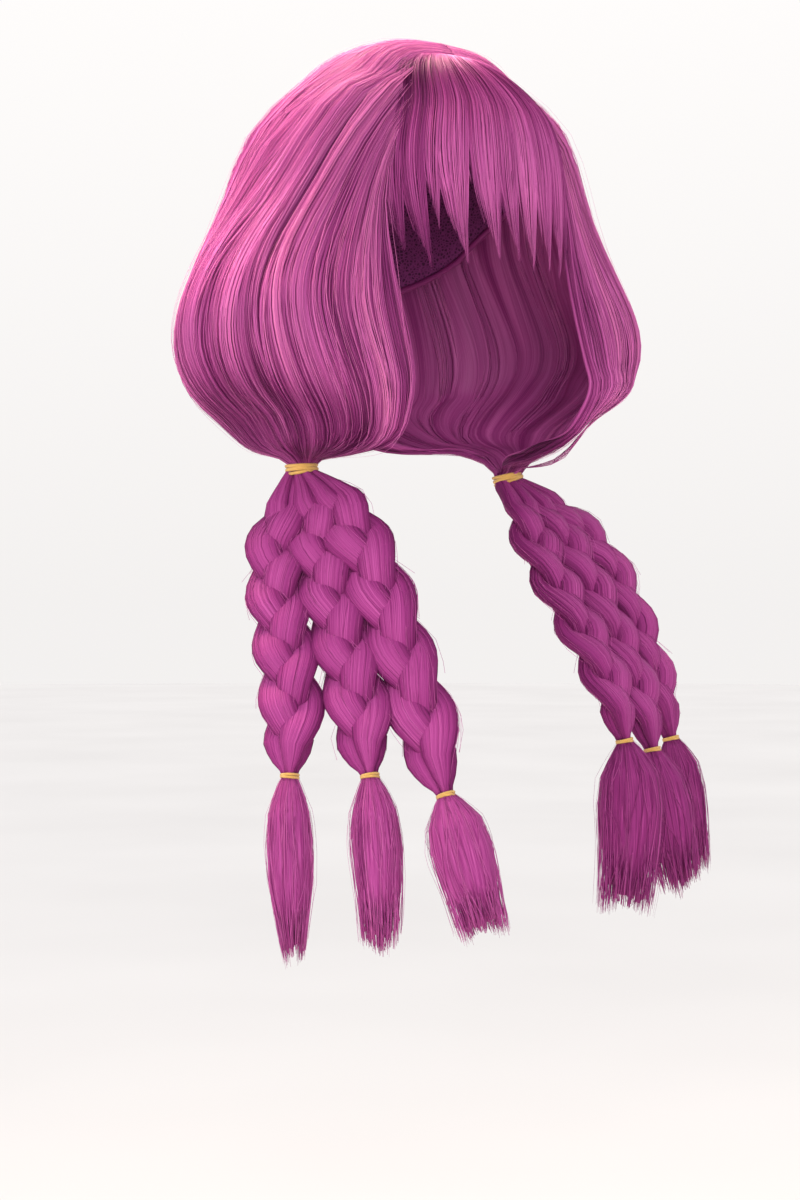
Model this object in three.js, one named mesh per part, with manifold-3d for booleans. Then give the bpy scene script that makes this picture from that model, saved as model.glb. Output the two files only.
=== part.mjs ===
// A braided wig: a hollow cap, a pointed fringe, two puffed side masses of hair gathered into low
// bunches, and three plaits of three strands hanging from each bunch, each ending in a tassel.
// Millimetres, +Z up. The wearer faces -Y and the wearer's right hand is at -X.
// The origin is the underside of the cap's crown, where the top of the head sits.
import * as THREE from "three";
import { mergeVertices } from "three/addons/utils/BufferGeometryUtils.js";
import Module from "manifold-3d";

const wasm = await Module();
wasm.setup();

// Driving dimensions
const GAP = 0.3; // clearance between pieces that touch on the real wig
const HEAD = { halfWidth: 73, halfLength: 92, crownHeight: 95, fullness: 2.5 };
const CAP = { wall: 1.5, frontRimDeg: 61, napeRimDeg: 104, around: 18, down: 5 };
const SIDE = {
  partHalfGap: 0.4, // half the slit along the parting
  wall: 9,
  edgeWall: 4, // wall at the front edge
  locks: 7,
  stepsPerLock: 3,
  lockDepth: 2.2,
  clear: 1.7, // inner face over the cap's outer face
  edgeLift: 0.6, // share of a row's lift at the front edge
};
const NECK = { behind: 8, radius: 60 }; // room for the wearer's neck between the bunches
const BUNCH = { lateral: 73.7, forward: 0, z: -235, radius: 9.2, slitDeg: 20 };
const BUNCH_TIE = { height: 5.4, thickness: 1.9, sides: 12, clear: 0.95 };
const BRAID = {
  width: 9.8, // sideways swing of a strand's middle
  depth: 7.1, // front-to-back swing of a strand's middle
  strandHalfWidth: 4.2, // where it crosses the middle of the plait
  lobeExtra: 2.5, // further half-width where it rounds the plait's edge
  strandHalfDepth: 4.25,
  crossings: 11,
  steps: 22,
  sides: 6,
  swell: 1.25, // how late a strand reaches its full size
};
const BRAID_TOP = { swing: 2.4, strandRadius: 1.8, spacing: 9.6, reach: 0.29, straight: 0.1 };
const BRAID_END = { swing: 2.1, strandRadius: 1.6, reach: 0.17, straight: 0.09 };
const BRAID_TIE = { height: 4, thickness: 1.5, sides: 8, clear: 0.75, hold: 0.035, raise: 0.4 };
const TIE_EDGE = 0.4; // rounding of a tie's outer edges, as a share of its thickness
const TASSEL = {
  locks: 7,
  headRadius: 3.6,
  groove: 0.74, // radius in the grooves, as a share of the crests'
  tipReach: 0.55, // radius of the tips, as a share of the girth
  straight: 0.35, // share of the length that runs on along the plait
  unevenTips: 0.06,
};
const FRINGE = {
  rootDeg: 15,
  halfDeg: 45.5,
  wall: 2.4,
  rootForward: 54,
  sheetRows: 5,
  sheetColumns: 10,
  fanFrom: 5, // depth below the crown where the sheet starts to widen, and where it is full
  fanTo: 38,
  lockRows: 5,
  lockRootRise: 26, // how far above the sheet's edge a lock starts
  lockTaper: 1.6,
  lockCrest: 1.1, // how far a lock's middle stands out of the sheet
  lockBack: 0.3, // how far its back stands in
  tipHalfWidth: 0.6,
  tipWall: 1.2,
};

// Colours
const HAIR_COLOUR = 0xa83f93;
const CAP_COLOUR = 0x7d2f6f;
const ELASTIC_COLOUR = 0xd29a3c;

// Sections of a side mass, from the parting at the crown down to the bunch. Each is a half-ring round
// the head, from its front end at `start` degrees off straight ahead to the middle of the back.
// lift: height over the cap, on the rows that lie on it; zFront and zBack: height of the ends elsewhere.
// lateral, front, back: reach of the ring from the head's axis. gatherFront and gatherBack: how far the
// ends have been drawn in to the bunch. wall: share of the wall's thickness. lock: share of lock depth.
const SECTIONS = [
  { lift: 6, lateral: 0.8, front: 46, back: 16, start: 0, wall: 0.4, lock: 0 },
  { lift: 10, lateral: 26, front: 60, back: 48, start: 35, wall: 0.75, lock: 0.2 },
  { lift: 13, lateral: 45, front: 64, back: 65, start: 37, wall: 0.95, lock: 0.4 },
  { lift: 17, lateral: 62, front: 67, back: 80, start: 33, wall: 1, lock: 0.6 },
  { zFront: -30, zBack: -30, lateral: 79, front: 66, back: 97, start: 28, wall: 1, lock: 0.7 },
  { zFront: -52, zBack: -54, lateral: 92, front: 70, back: 107, start: 27.5, wall: 1, lock: 0.8 },
  { zFront: -85, zBack: -87, lateral: 106, front: 70, back: 109, start: 23, wall: 1, lock: 0.9 },
  { zFront: -118, zBack: -120, lateral: 127, front: 73, back: 103, start: 17.5, wall: 1, lock: 1 },
  { zFront: -150, zBack: -150, lateral: 141, front: 82, back: 98, start: 14.5, wall: 1, lock: 1 },
  { zFront: -174, zBack: -172, lateral: 139, front: 92, back: 98, start: 18.5, wall: 1, lock: 1 },
  { zFront: -195, zBack: -192, lateral: 124, front: 103, back: 98, start: 27, wall: 1, lock: 1 },
  { zFront: -208, zBack: -206, lateral: 104, front: 106, back: 96, start: 36, gatherFront: 0.02,
    gatherBack: 0.06, wall: 0.9, lock: 0.8 },
  { zFront: -216, zBack: -215, lateral: 99, front: 105, back: 90, start: 37, gatherFront: 0.1,
    gatherBack: 0.2, wall: 0.75, lock: 0.6 },
  { zFront: -221, zBack: -222, lateral: 98, front: 104, back: 86, start: 37, gatherFront: 0.38,
    gatherBack: 0.46, wall: 0.6, lock: 0.4 },
  { zFront: -226, zBack: -227, lateral: 98, front: 104, back: 84, start: 37, gatherFront: 0.8,
    gatherBack: 0.82, wall: 0.45, lock: 0.2 },
  { zFront: -231.6, zBack: -231.6, lateral: 98, front: 104, back: 84, start: 37, gatherFront: 1,
    gatherBack: 1, wall: 0.4, lock: 0 },
];
// Squareness of a section ahead of the ears and behind them, at the crown and at the gathered end.
const CORNER = { frontTop: 3.5, frontEnd: 2.1, backTop: 2.2, backEnd: 2.7, from: -140, to: -210 };

// The bundle of hair that passes through a bunch tie and fans out below it, from the top down.
// across: half-width along the fan of plaits; deep: half-width through it.
const BUNDLE = [
  { z: -224, across: 5, deep: 5 },
  { z: -230, across: 8.6, deep: 8.6 },
  { z: -238.4, across: 9.4, deep: 9.4 },
  { z: -241, across: 12, deep: 7.6 },
  { z: -244.3, across: 14, deep: 4.6 },
];

// Plaits, outer to inner on each side. Each passes a point at FAN_Z and one at LOW_Z on its way to its
// end tie, and its tassel hangs on to a tip. out: sideways from the middle plane; ahead: towards the face.
const FAN_Z = -285;
const LOW_Z = -362;
const BRAIDS = [
  { side: "right", place: "outer", fanOut: 100, fanAhead: 8, lowOut: 109, lowAhead: 39,
    endOut: 112, endAhead: 47, endZ: -401, tipOut: 112, tipAhead: 51, tipZ: -494, girth: 12.5 },
  { side: "right", place: "middle", fanOut: 81, fanAhead: 31, lowOut: 84, lowAhead: 70,
    endOut: 85, endAhead: 82, endZ: -400, tipOut: 84, tipAhead: 90, tipZ: -486, girth: 13.5 },
  { side: "right", place: "inner", fanOut: 62, fanAhead: 58, lowOut: 59, lowAhead: 97,
    endOut: 59, endAhead: 113, endZ: -409, tipOut: 50, tipAhead: 133, tipZ: -477, girth: 16.5 },
  { side: "left", place: "outer", fanOut: 130, fanAhead: 23, lowOut: 154, lowAhead: 45,
    endOut: 158, endAhead: 52, endZ: -392, tipOut: 172, tipAhead: 56, tipZ: -468, girth: 14 },
  { side: "left", place: "middle", fanOut: 99, fanAhead: 33, lowOut: 120, lowAhead: 64,
    endOut: 124, endAhead: 72, endZ: -396, tipOut: 138, tipAhead: 80, tipZ: -475, girth: 16 },
  { side: "left", place: "inner", fanOut: 70, fanAhead: 38, lowOut: 89, lowAhead: 77,
    endOut: 93, endAhead: 82, endZ: -389, tipOut: 92, tipAhead: 83, tipZ: -482, girth: 19.5 },
];
const PLACE_STEP = { outer: -1, middle: 0, inner: 1 };
const SIDES = ["right", "left"];

// Pointed locks of the fringe: direction off straight ahead (towards the wearer's left), height of the
// tip, half-width at the top, and how far the tip drifts sideways.
const FRINGE_LOCKS = [
  { deg: -41, tipZ: -118, halfWidth: 7, driftDeg: 3 },
  { deg: -33, tipZ: -131, halfWidth: 8.5, driftDeg: 4 },
  { deg: -20, tipZ: -125, halfWidth: 9.5, driftDeg: 3 },
  { deg: -7, tipZ: -124, halfWidth: 8.5, driftDeg: 2 },
  { deg: 2, tipZ: -126, halfWidth: 7, driftDeg: 1 },
  { deg: 11, tipZ: -131, halfWidth: 8, driftDeg: 0 },
  { deg: 25, tipZ: -131, halfWidth: 10, driftDeg: -1 },
  { deg: 38, tipZ: -124, halfWidth: 9, driftDeg: -3 },
];
// Outer face of the fringe over the cap's: at its root, on the forehead and at the tips. The depths
// below the crown say where each change starts and ends.
const FRINGE_LIFT = {
  root: 3.2,
  middle: 6.2,
  tip: 7,
  riseFrom: 5,
  riseTo: 60,
  hangFrom: 70,
  hangTo: 130,
};
const FRINGE_SHEET_Z = -88; // where the sheet ends and the separate points begin

const DOWN = new THREE.Vector3(0, 0, -1);
const radians = THREE.MathUtils.degToRad;
const lerp = THREE.MathUtils.lerp;
const smooth = THREE.MathUtils.smoothstep;
const signedPower = (value, power) => Math.sign(value) * Math.abs(value) ** power;

// Solids from rings and grids of points

function geometryOf(points, triangles) {
  const geometry = new THREE.BufferGeometry();
  geometry.setFromPoints(points);
  geometry.setIndex(triangles);
  return geometry;
}

// A closed skin over rings of equally many points, with flat ends. Rings run counter-clockwise when
// looked at against the direction of travel.
function loftGeometry(rings) {
  const count = rings[0].length;
  const points = rings.flat();
  const triangles = [];
  for (let r = 0; r + 1 < rings.length; r++) {
    for (let i = 0; i < count; i++) {
      const a = r * count + i;
      const b = r * count + ((i + 1) % count);
      triangles.push(a, b, a + count, b, b + count, a + count);
    }
  }
  const last = (rings.length - 1) * count;
  for (let i = 1; i + 1 < count; i++) {
    triangles.push(0, i + 1, i, last, last + i, last + i + 1);
  }
  return geometryOf(points, triangles);
}

// A wall between an outer and an inner grid of the same size, closed along its four edges.
function wallGeometry(outer, inner) {
  const rows = outer.length;
  const columns = outer[0].length;
  const points = [...outer.flat(), ...inner.flat()];
  const out = (r, c) => r * columns + c;
  const into = (r, c) => rows * columns + r * columns + c;
  const triangles = [];
  const quad = (a, b, c, d) => triangles.push(a, b, c, a, c, d);
  for (let r = 0; r + 1 < rows; r++) {
    for (let c = 0; c + 1 < columns; c++) {
      quad(out(r, c), out(r + 1, c), out(r + 1, c + 1), out(r, c + 1));
      quad(into(r, c), into(r, c + 1), into(r + 1, c + 1), into(r + 1, c));
    }
    quad(out(r, 0), into(r, 0), into(r + 1, 0), out(r + 1, 0));
    const end = columns - 1;
    quad(out(r, end), out(r + 1, end), into(r + 1, end), into(r, end));
  }
  for (let c = 0; c + 1 < columns; c++) {
    quad(out(0, c), out(0, c + 1), into(0, c + 1), into(0, c));
    const end = rows - 1;
    quad(out(end, c), into(end, c), into(end, c + 1), out(end, c + 1));
  }
  return geometryOf(points, triangles);
}

function solidOf(geometry) {
  const merged = mergeVertices(
    new THREE.BufferGeometry()
      .setAttribute("position", geometry.getAttribute("position"))
      .setIndex(geometry.index),
    1e-4,
  );
  const solid = new wasm.Manifold(
    new wasm.Mesh({
      numProp: 3,
      vertProperties: new Float32Array(merged.getAttribute("position").array),
      triVerts: new Uint32Array(merged.index.array),
    }),
  );
  return solid;
}

function fused(geometries) {
  const whole = geometries.map(solidOf).reduce((joined, next) => joined.add(next));
  const mesh = whole.getMesh();
  return new THREE.BufferGeometry()
    .setAttribute("position", new THREE.BufferAttribute(mesh.vertProperties, 3))
    .setIndex(new THREE.BufferAttribute(mesh.triVerts, 1));
}

// The head's crown, grown outwards by `offset`

function headPoint(azimuth, polar, offset) {
  const round = 2 / HEAD.fullness;
  const reach = Math.sin(polar) ** round;
  return new THREE.Vector3(
    (HEAD.halfWidth + offset) * reach * Math.sin(azimuth),
    -(HEAD.halfLength + offset) * reach * Math.cos(azimuth),
    (HEAD.crownHeight + offset) * signedPower(Math.cos(polar), round) - HEAD.crownHeight,
  );
}

function headTop(x, y, offset) {
  const spread = Math.hypot(x / (HEAD.halfWidth + offset), y / (HEAD.halfLength + offset));
  const height = Math.max(0, 1 - spread ** HEAD.fullness) ** (1 / HEAD.fullness);
  return (HEAD.crownHeight + offset) * height - HEAD.crownHeight;
}

// Moves a point out to the head's surface, grown by `offset`, if it lies inside that.
function keepOutside(point, offset) {
  const spread = Math.hypot(
    point.x / (HEAD.halfWidth + offset),
    point.y / (HEAD.halfLength + offset),
  );
  const height = Math.max(0, point.z + HEAD.crownHeight) / (HEAD.crownHeight + offset);
  const level = (spread ** HEAD.fullness + height ** HEAD.fullness) ** (1 / HEAD.fullness);
  if (level >= 1) return point;
  const centre = new THREE.Vector3(0, 0, Math.min(point.z, -HEAD.crownHeight));
  return point.sub(centre).divideScalar(level).add(centre);
}

const polarAtZ = (z, offset) =>
  Math.acos(
    signedPower((z + HEAD.crownHeight) / (HEAD.crownHeight + offset), HEAD.fullness / 2),
  );

// Cap: a thin hollow dome from the forehead's hairline to the nape

function capGeometry() {
  const rim = (azimuth) =>
    radians(lerp(CAP.frontRimDeg, CAP.napeRimDeg, (1 - Math.cos(azimuth)) / 2));
  const skin = (offset) => {
    const points = [headPoint(0, 0, offset)];
    for (let r = 1; r <= CAP.down; r++) {
      for (let i = 0; i < CAP.around; i++) {
        const azimuth = (2 * Math.PI * i) / CAP.around;
        points.push(headPoint(azimuth, (rim(azimuth) * r) / CAP.down, offset));
      }
    }
    return points;
  };
  const outer = skin(CAP.wall);
  const points = [...outer, ...skin(0)];
  const inside = outer.length;
  const at = (r, i) => 1 + (r - 1) * CAP.around + (i % CAP.around);
  const triangles = [];
  for (let i = 0; i < CAP.around; i++) {
    triangles.push(0, at(1, i), at(1, i + 1));
    triangles.push(inside, inside + at(1, i + 1), inside + at(1, i));
    for (let r = 1; r < CAP.down; r++) {
      const [a, b, c, d] = [at(r, i), at(r + 1, i), at(r + 1, i + 1), at(r, i + 1)];
      triangles.push(a, b, c, a, c, d);
      triangles.push(inside + a, inside + c, inside + b, inside + a, inside + d, inside + c);
    }
    const [e, f] = [at(CAP.down, i), at(CAP.down, i + 1)];
    triangles.push(e, inside + e, inside + f, e, inside + f, f);
  }
  return geometryOf(points, triangles);
}

// Side masses: a puffed wall of locks from the parting round the head and in under the jaw

const COLUMNS = SIDE.locks * SIDE.stepsPerLock;

function ringPoint(section, share) {
  const turn = lerp(radians(section.start), Math.PI, share);
  const isFront = Math.cos(turn) > 0;
  const low = smooth(-(section.zBack ?? 0), -CORNER.from, -CORNER.to);
  const corner = isFront
    ? lerp(CORNER.frontTop, CORNER.frontEnd, low)
    : lerp(CORNER.backTop, CORNER.backEnd, low);
  const ring = new THREE.Vector2(
    section.lateral * Math.max(0, Math.sin(turn)) ** (2 / corner),
    -(isFront ? section.front : section.back) * signedPower(Math.cos(turn), 2 / corner),
  );
  const slit = BUNCH.slitDeg / 2;
  const bunchTurn = radians(lerp(slit - 90, 270 - slit, share));
  const bunch = new THREE.Vector2(
    BUNCH.lateral + BUNCH.radius * Math.sin(bunchTurn),
    -BUNCH.forward - BUNCH.radius * Math.cos(bunchTurn),
  );
  ring.lerp(bunch, lerp(section.gatherFront ?? 0, section.gatherBack ?? 0, share));
  const fromNeck = ring.clone().sub(new THREE.Vector2(0, NECK.behind));
  if (section.gatherBack && fromNeck.length() < NECK.radius) {
    ring.addScaledVector(fromNeck.clone().normalize(), NECK.radius - fromNeck.length());
  }
  const x = Math.max(SIDE.partHalfGap, ring.x);
  const z =
    section.lift === undefined
      ? lerp(section.zFront, section.zBack, share)
      : headTop(x, ring.y, CAP.wall) + section.lift * lerp(SIDE.edgeLift, 1, smooth(share, 0, 0.25));
  return new THREE.Vector3(x, ring.y, z);
}

// Outward normals of a grid, from the neighbours of each point.
function gridNormals(grid) {
  const rows = grid.length;
  const columns = grid[0].length;
  return grid.map((row, r) =>
    row.map((_, c) => {
      const down = new THREE.Vector3().subVectors(
        grid[Math.min(r + 1, rows - 1)][c],
        grid[Math.max(r - 1, 0)][c],
      );
      const along = new THREE.Vector3().subVectors(
        grid[r][Math.min(c + 1, columns - 1)],
        grid[r][Math.max(c - 1, 0)],
      );
      return down.cross(along).normalize();
    }),
  );
}

function sideGrids() {
  const plain = SECTIONS.map((section) =>
    Array.from({ length: COLUMNS + 1 }, (_, c) => ringPoint(section, c / COLUMNS)),
  );
  const normals = gridNormals(plain);
  const outer = plain.map((row, r) =>
    row.map((point, c) => {
      const groove = c % SIDE.stepsPerLock === 0 ? 1 : 0;
      const depth = groove * SIDE.lockDepth * SECTIONS[r].lock;
      return point.clone().addScaledVector(normals[r][c], -depth);
    }),
  );
  const inner = plain.map((row, r) =>
    row.map((point, c) => {
      const share = c / COLUMNS;
      const wall = lerp(SIDE.edgeWall, SIDE.wall, smooth(share, 0, 0.15)) * SECTIONS[r].wall;
      const moved = point.clone().addScaledVector(normals[r][c], -wall);
      moved.x = Math.max(SIDE.partHalfGap, moved.x);
      return keepOutside(moved, CAP.wall + SIDE.clear);
    }),
  );
  return [outer, inner];
}

const fanDirection = (side) => {
  const [outer, inner] = ["outer", "inner"].map((place) =>
    BRAIDS.find((braid) => braid.side === side && braid.place === place),
  );
  return new THREE.Vector2(
    inner.fanOut - outer.fanOut,
    -(inner.fanAhead - outer.fanAhead),
  ).normalize();
};

function bundleGeometry(side) {
  const fan = fanDirection(side);
  const turns = 12;
  const rings = BUNDLE.map(({ z, across, deep }) =>
    Array.from({ length: turns }, (_, i) => {
      const angle = (2 * Math.PI * i) / turns;
      const u = across * Math.cos(angle);
      const v = -deep * Math.sin(angle);
      return new THREE.Vector3(
        BUNCH.lateral + u * fan.x - v * fan.y,
        -BUNCH.forward + u * fan.y + v * fan.x,
        z,
      );
    }),
  );
  return loftGeometry(rings);
}

function sideGeometry(side) {
  const [outer, inner] = sideGrids();
  return fused([wallGeometry(outer, inner), bundleGeometry(side)]);
}

// Elastic ties: flat bands with rounded outer edges

function tieGeometry(innerRadius, { thickness, height, sides }) {
  const outerRadius = innerRadius + thickness;
  const half = height / 2;
  const round = thickness * TIE_EDGE;
  const profile = [
    [innerRadius, -half],
    [outerRadius - round, -half],
    [outerRadius, -half + round],
    [outerRadius, half - round],
    [outerRadius - round, half],
    [innerRadius, half],
    [innerRadius, -half],
  ].map(([x, y]) => new THREE.Vector2(x, y));
  return new THREE.LatheGeometry(profile, sides).rotateX(Math.PI / 2);
}

// Plaits

const outAhead = (out, ahead, z) => new THREE.Vector3(out, -ahead, z);

function braidPath(braid) {
  const fan = fanDirection(braid.side);
  const shift = PLACE_STEP[braid.place] * BRAID_TOP.spacing;
  return new THREE.CatmullRomCurve3([
    new THREE.Vector3(
      BUNCH.lateral + fan.x * shift,
      -BUNCH.forward + fan.y * shift,
      BUNDLE.at(-1).z - GAP,
    ),
    outAhead(braid.fanOut, braid.fanAhead, FAN_Z),
    outAhead(braid.lowOut, braid.lowAhead, LOW_Z),
    outAhead(braid.endOut, braid.endAhead, braid.endZ),
  ]);
}

// Share of full size along a plait: small under the bunch tie, full, then small again in its end tie.
function fullness(u) {
  const ending = smooth(u, 1 - BRAID_END.reach, 1 - BRAID_TIE.hold);
  return Math.min(1, u / BRAID_TOP.reach) * (1 - ending);
}

function strandGeometry(braid, strand) {
  const path = braidPath(braid);
  const fan = fanDirection(braid.side);
  const middle = (u) => {
    const crossed = (u - BRAID_TOP.straight) / (1 - BRAID_TOP.straight - BRAID_END.straight);
    const turned = BRAID.crossings * THREE.MathUtils.clamp(crossed, 0, 1);
    const phase = (Math.PI / 3) * (turned + 2 * strand);
    const along = u === 0 ? DOWN : path.getTangentAt(u);
    const wide = new THREE.Vector3(fan.x, fan.y, 0).projectOnPlane(along).normalize();
    const through = new THREE.Vector3().crossVectors(wide, along);
    const thin = u < 0.5 ? BRAID_TOP : BRAID_END;
    const full = fullness(u);
    const lobe = BRAID.lobeExtra * Math.cos(phase) ** 2;
    return {
      point: path
        .getPointAt(u)
        .addScaledVector(wide, lerp(thin.swing, BRAID.width, full) * Math.cos(phase))
        .addScaledVector(through, lerp(thin.swing, BRAID.depth, full) * Math.sin(2 * phase)),
      through,
      halfWidth: lerp(thin.strandRadius, BRAID.strandHalfWidth + lobe, full ** BRAID.swell),
      halfDepth: lerp(thin.strandRadius, BRAID.strandHalfDepth, full ** BRAID.swell),
    };
  };
  const spots = Array.from({ length: BRAID.steps + 1 }, (_, i) => middle(i / BRAID.steps));
  const rings = spots.map((spot, i) => {
    const before = spots[Math.max(i - 1, 0)].point;
    const after = spots[Math.min(i + 1, BRAID.steps)].point;
    const along = new THREE.Vector3().subVectors(after, before).normalize();
    if (i === 0) along.copy(DOWN);
    if (i === BRAID.steps) along.copy(path.getTangentAt(1));
    const deep = spot.through.clone().projectOnPlane(along).normalize();
    const wide = new THREE.Vector3().crossVectors(along, deep);
    return Array.from({ length: BRAID.sides }, (_, k) => {
      const angle = (2 * Math.PI * k) / BRAID.sides;
      return spot.point
        .clone()
        .addScaledVector(wide, spot.halfWidth * Math.cos(angle))
        .addScaledVector(deep, -spot.halfDepth * Math.sin(angle));
    });
  });
  return loftGeometry(rings);
}

// Tassels: a fluted body of locks that part into separate points. Rows run from the head down;
// at: share of the length; girth: share of the full radius.
const TASSEL_ROWS = [
  { at: 0, girth: 0 },
  { at: 0.1, girth: 0.35 },
  { at: 0.28, girth: 0.86 },
  { at: 0.48, girth: 1 },
  { at: 0.68, girth: 0.9 },
];

function tasselGeometry(braid) {
  const path = braidPath(braid);
  const along = path.getTangentAt(1);
  const start = path.getPointAt(1).addScaledVector(along, BRAID_TIE.height / 2 + GAP);
  const tip = outAhead(braid.tipOut, braid.tipAhead, braid.tipZ);
  const bend = new THREE.QuadraticBezierCurve3(
    start,
    start.clone().addScaledVector(along, start.distanceTo(tip) * TASSEL.straight),
    tip,
  );
  const count = 2 * TASSEL.locks;
  const spoke = (at, radius, k) => {
    const way = bend.getTangentAt(at);
    const right = new THREE.Vector3(1, 0, 0).projectOnPlane(way).normalize();
    const ahead = new THREE.Vector3().crossVectors(way, right);
    const angle = (2 * Math.PI * k) / count;
    return bend
      .getPointAt(at)
      .addScaledVector(right, radius * Math.cos(angle))
      .addScaledVector(ahead, radius * Math.sin(angle));
  };
  const points = TASSEL_ROWS.flatMap(({ at, girth }) =>
    Array.from({ length: count }, (_, k) => {
      const flute = k % 2 === 0 ? lerp(1, TASSEL.groove, girth) : 1;
      return spoke(at, flute * lerp(TASSEL.headRadius, braid.girth, girth), k);
    }),
  );
  const triangles = [];
  for (let k = 1; k + 1 < count; k++) {
    triangles.push(0, k + 1, k);
  }
  for (let r = 0; r + 1 < TASSEL_ROWS.length; r++) {
    for (let k = 0; k < count; k++) {
      const [a, b] = [r * count + k, r * count + ((k + 1) % count)];
      triangles.push(a, b, a + count, b, b + count, a + count);
    }
  }
  const last = points.length - count;
  const core = points.length;
  points.push(bend.getPointAt(TASSEL_ROWS.at(-1).at));
  for (let k = 0; k < count; k += 2) {
    const [before, crest, after] = [last + k, last + k + 1, last + ((k + 2) % count)];
    const point = points.length;
    const shorter = TASSEL.unevenTips * (1 + Math.cos(2.4 * k));
    points.push(spoke(1 - shorter, braid.girth * TASSEL.tipReach, k + 1));
    triangles.push(before, crest, point, crest, after, point);
    triangles.push(after, core, point, core, before, point);
  }
  return geometryOf(points, triangles);
}

// Fringe: a curved sheet from the parting over the forehead, with pointed locks along its lower edge

function fringeLift(z) {
  const down = smooth(-z, FRINGE_LIFT.riseFrom, FRINGE_LIFT.riseTo);
  const hang = smooth(-z, FRINGE_LIFT.hangFrom, FRINGE_LIFT.hangTo);
  return lerp(lerp(FRINGE_LIFT.root, FRINGE_LIFT.middle, down), FRINGE_LIFT.tip, hang);
}

// A point of the fringe at a direction, a height and a depth under its outer face. Below the brow the
// hair hangs straight.
function fringePoint(azimuth, z, depth) {
  const lift = CAP.wall + fringeLift(z) - depth;
  const polar = Math.min(polarAtZ(Math.min(z, 0), lift), Math.PI / 2);
  const point = headPoint(azimuth, polar, lift);
  point.z = z;
  return point;
}

function fringeSheet() {
  const rootZ = headTop(0, FRINGE.rootForward, CAP.wall) + FRINGE_LIFT.root;
  const from = polarAtZ(rootZ - FRINGE_LIFT.root, CAP.wall);
  const to = polarAtZ(FRINGE_SHEET_Z, CAP.wall);
  const grid = (depth) =>
    Array.from({ length: FRINGE.sheetRows + 1 }, (_, r) => {
      const z = headPoint(0, lerp(from, to, r / FRINGE.sheetRows), CAP.wall).z;
      const fanned = smooth(-z, FRINGE.fanFrom, FRINGE.fanTo);
      const halfDeg = lerp(FRINGE.rootDeg, FRINGE.halfDeg, fanned);
      return Array.from({ length: FRINGE.sheetColumns + 1 }, (_, c) =>
        fringePoint(radians(halfDeg * ((2 * c) / FRINGE.sheetColumns - 1)), z, depth),
      );
    });
  return wallGeometry(grid(0), grid(FRINGE.wall));
}

function fringeLock({ deg, tipZ, halfWidth, driftDeg }) {
  const topZ = FRINGE_SHEET_Z + FRINGE.lockRootRise;
  const rings = [];
  for (let i = 0; i <= FRINGE.lockRows; i++) {
    const u = i / FRINGE.lockRows;
    const z = lerp(topZ, tipZ, u);
    const azimuth = radians(deg + driftDeg * u * u);
    const width = Math.max(FRINGE.tipHalfWidth, halfWidth * (1 - u ** FRINGE.lockTaper));
    const half = width / HEAD.halfWidth;
    const thick = lerp(FRINGE.wall, FRINGE.tipWall, u);
    rings.push([
      fringePoint(azimuth - half, z, thick * 0.6),
      fringePoint(azimuth, z, thick + FRINGE.lockBack),
      fringePoint(azimuth + half, z, thick * 0.6),
      fringePoint(azimuth, z, -FRINGE.lockCrest * (1 - u)),
    ]);
  }
  return loftGeometry(rings);
}

const fringeGeometry = () => fused([fringeSheet(), ...FRINGE_LOCKS.map(fringeLock)]);

// Assembly

const finish = (color, roughness) =>
  new THREE.MeshStandardMaterial({ color, roughness, metalness: 0 });
const hair = finish(HAIR_COLOUR, 0.5);
const net = finish(CAP_COLOUR, 0.9);
const elastic = finish(ELASTIC_COLOUR, 0.7);

const wig = new THREE.Group();
function add(name, geometry, material, side) {
  const mesh = new THREE.Mesh(geometry, material);
  mesh.name = name;
  if (side === "right") mesh.scale.x = -1;
  wig.add(mesh);
  return mesh;
}

function placeTie(mesh, point, along, side) {
  const flip = new THREE.Vector3(side === "right" ? -1 : 1, 1, 1);
  mesh.position.copy(point).multiply(flip);
  mesh.quaternion.setFromUnitVectors(DOWN, along.clone().multiply(flip));
}

add("wig_cap", capGeometry(), net);
add("fringe", fringeGeometry(), hair);
for (const side of SIDES) {
  add(`side_hair_${side}`, sideGeometry(side), hair, side);
  const innerRadius = BUNCH.radius + BUNCH_TIE.clear;
  const tie = add(`bunch_tie_${side}`, tieGeometry(innerRadius, BUNCH_TIE), elastic);
  const middle = new THREE.Vector3(BUNCH.lateral, -BUNCH.forward, BUNCH.z);
  placeTie(tie, middle, DOWN, side);
}
for (const braid of BRAIDS) {
  const label = `${braid.side}_${braid.place}`;
  ["a", "b", "c"].forEach((letter, strand) => {
    add(`braid_${label}_strand_${letter}`, strandGeometry(braid, strand), hair, braid.side);
  });
  const path = braidPath(braid);
  const innerRadius = BRAID_END.swing + BRAID_END.strandRadius + BRAID_TIE.clear;
  const tie = add(`braid_tie_${label}`, tieGeometry(innerRadius, BRAID_TIE), elastic);
  const end = path.getPointAt(1).addScaledVector(path.getTangentAt(1), -BRAID_TIE.raise);
  placeTie(tie, end, path.getTangentAt(1), braid.side);
  add(`tassel_${label}`, tasselGeometry(braid), hair, braid.side);
}

export default wig;
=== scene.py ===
# %% [markdown]
# # A braided wig
# This lesson dresses a wig whose solids come ready made: a cap, a fringe, two puffed side masses that
# are gathered into low bunches, and three plaits below each bunch. The solids fix the size and place of
# every piece. Here they get what makes hair look like hair: thousands of thin fibres that follow each
# solid's form, bound by wound elastic bands.

# %% Load the frame
import math

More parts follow.
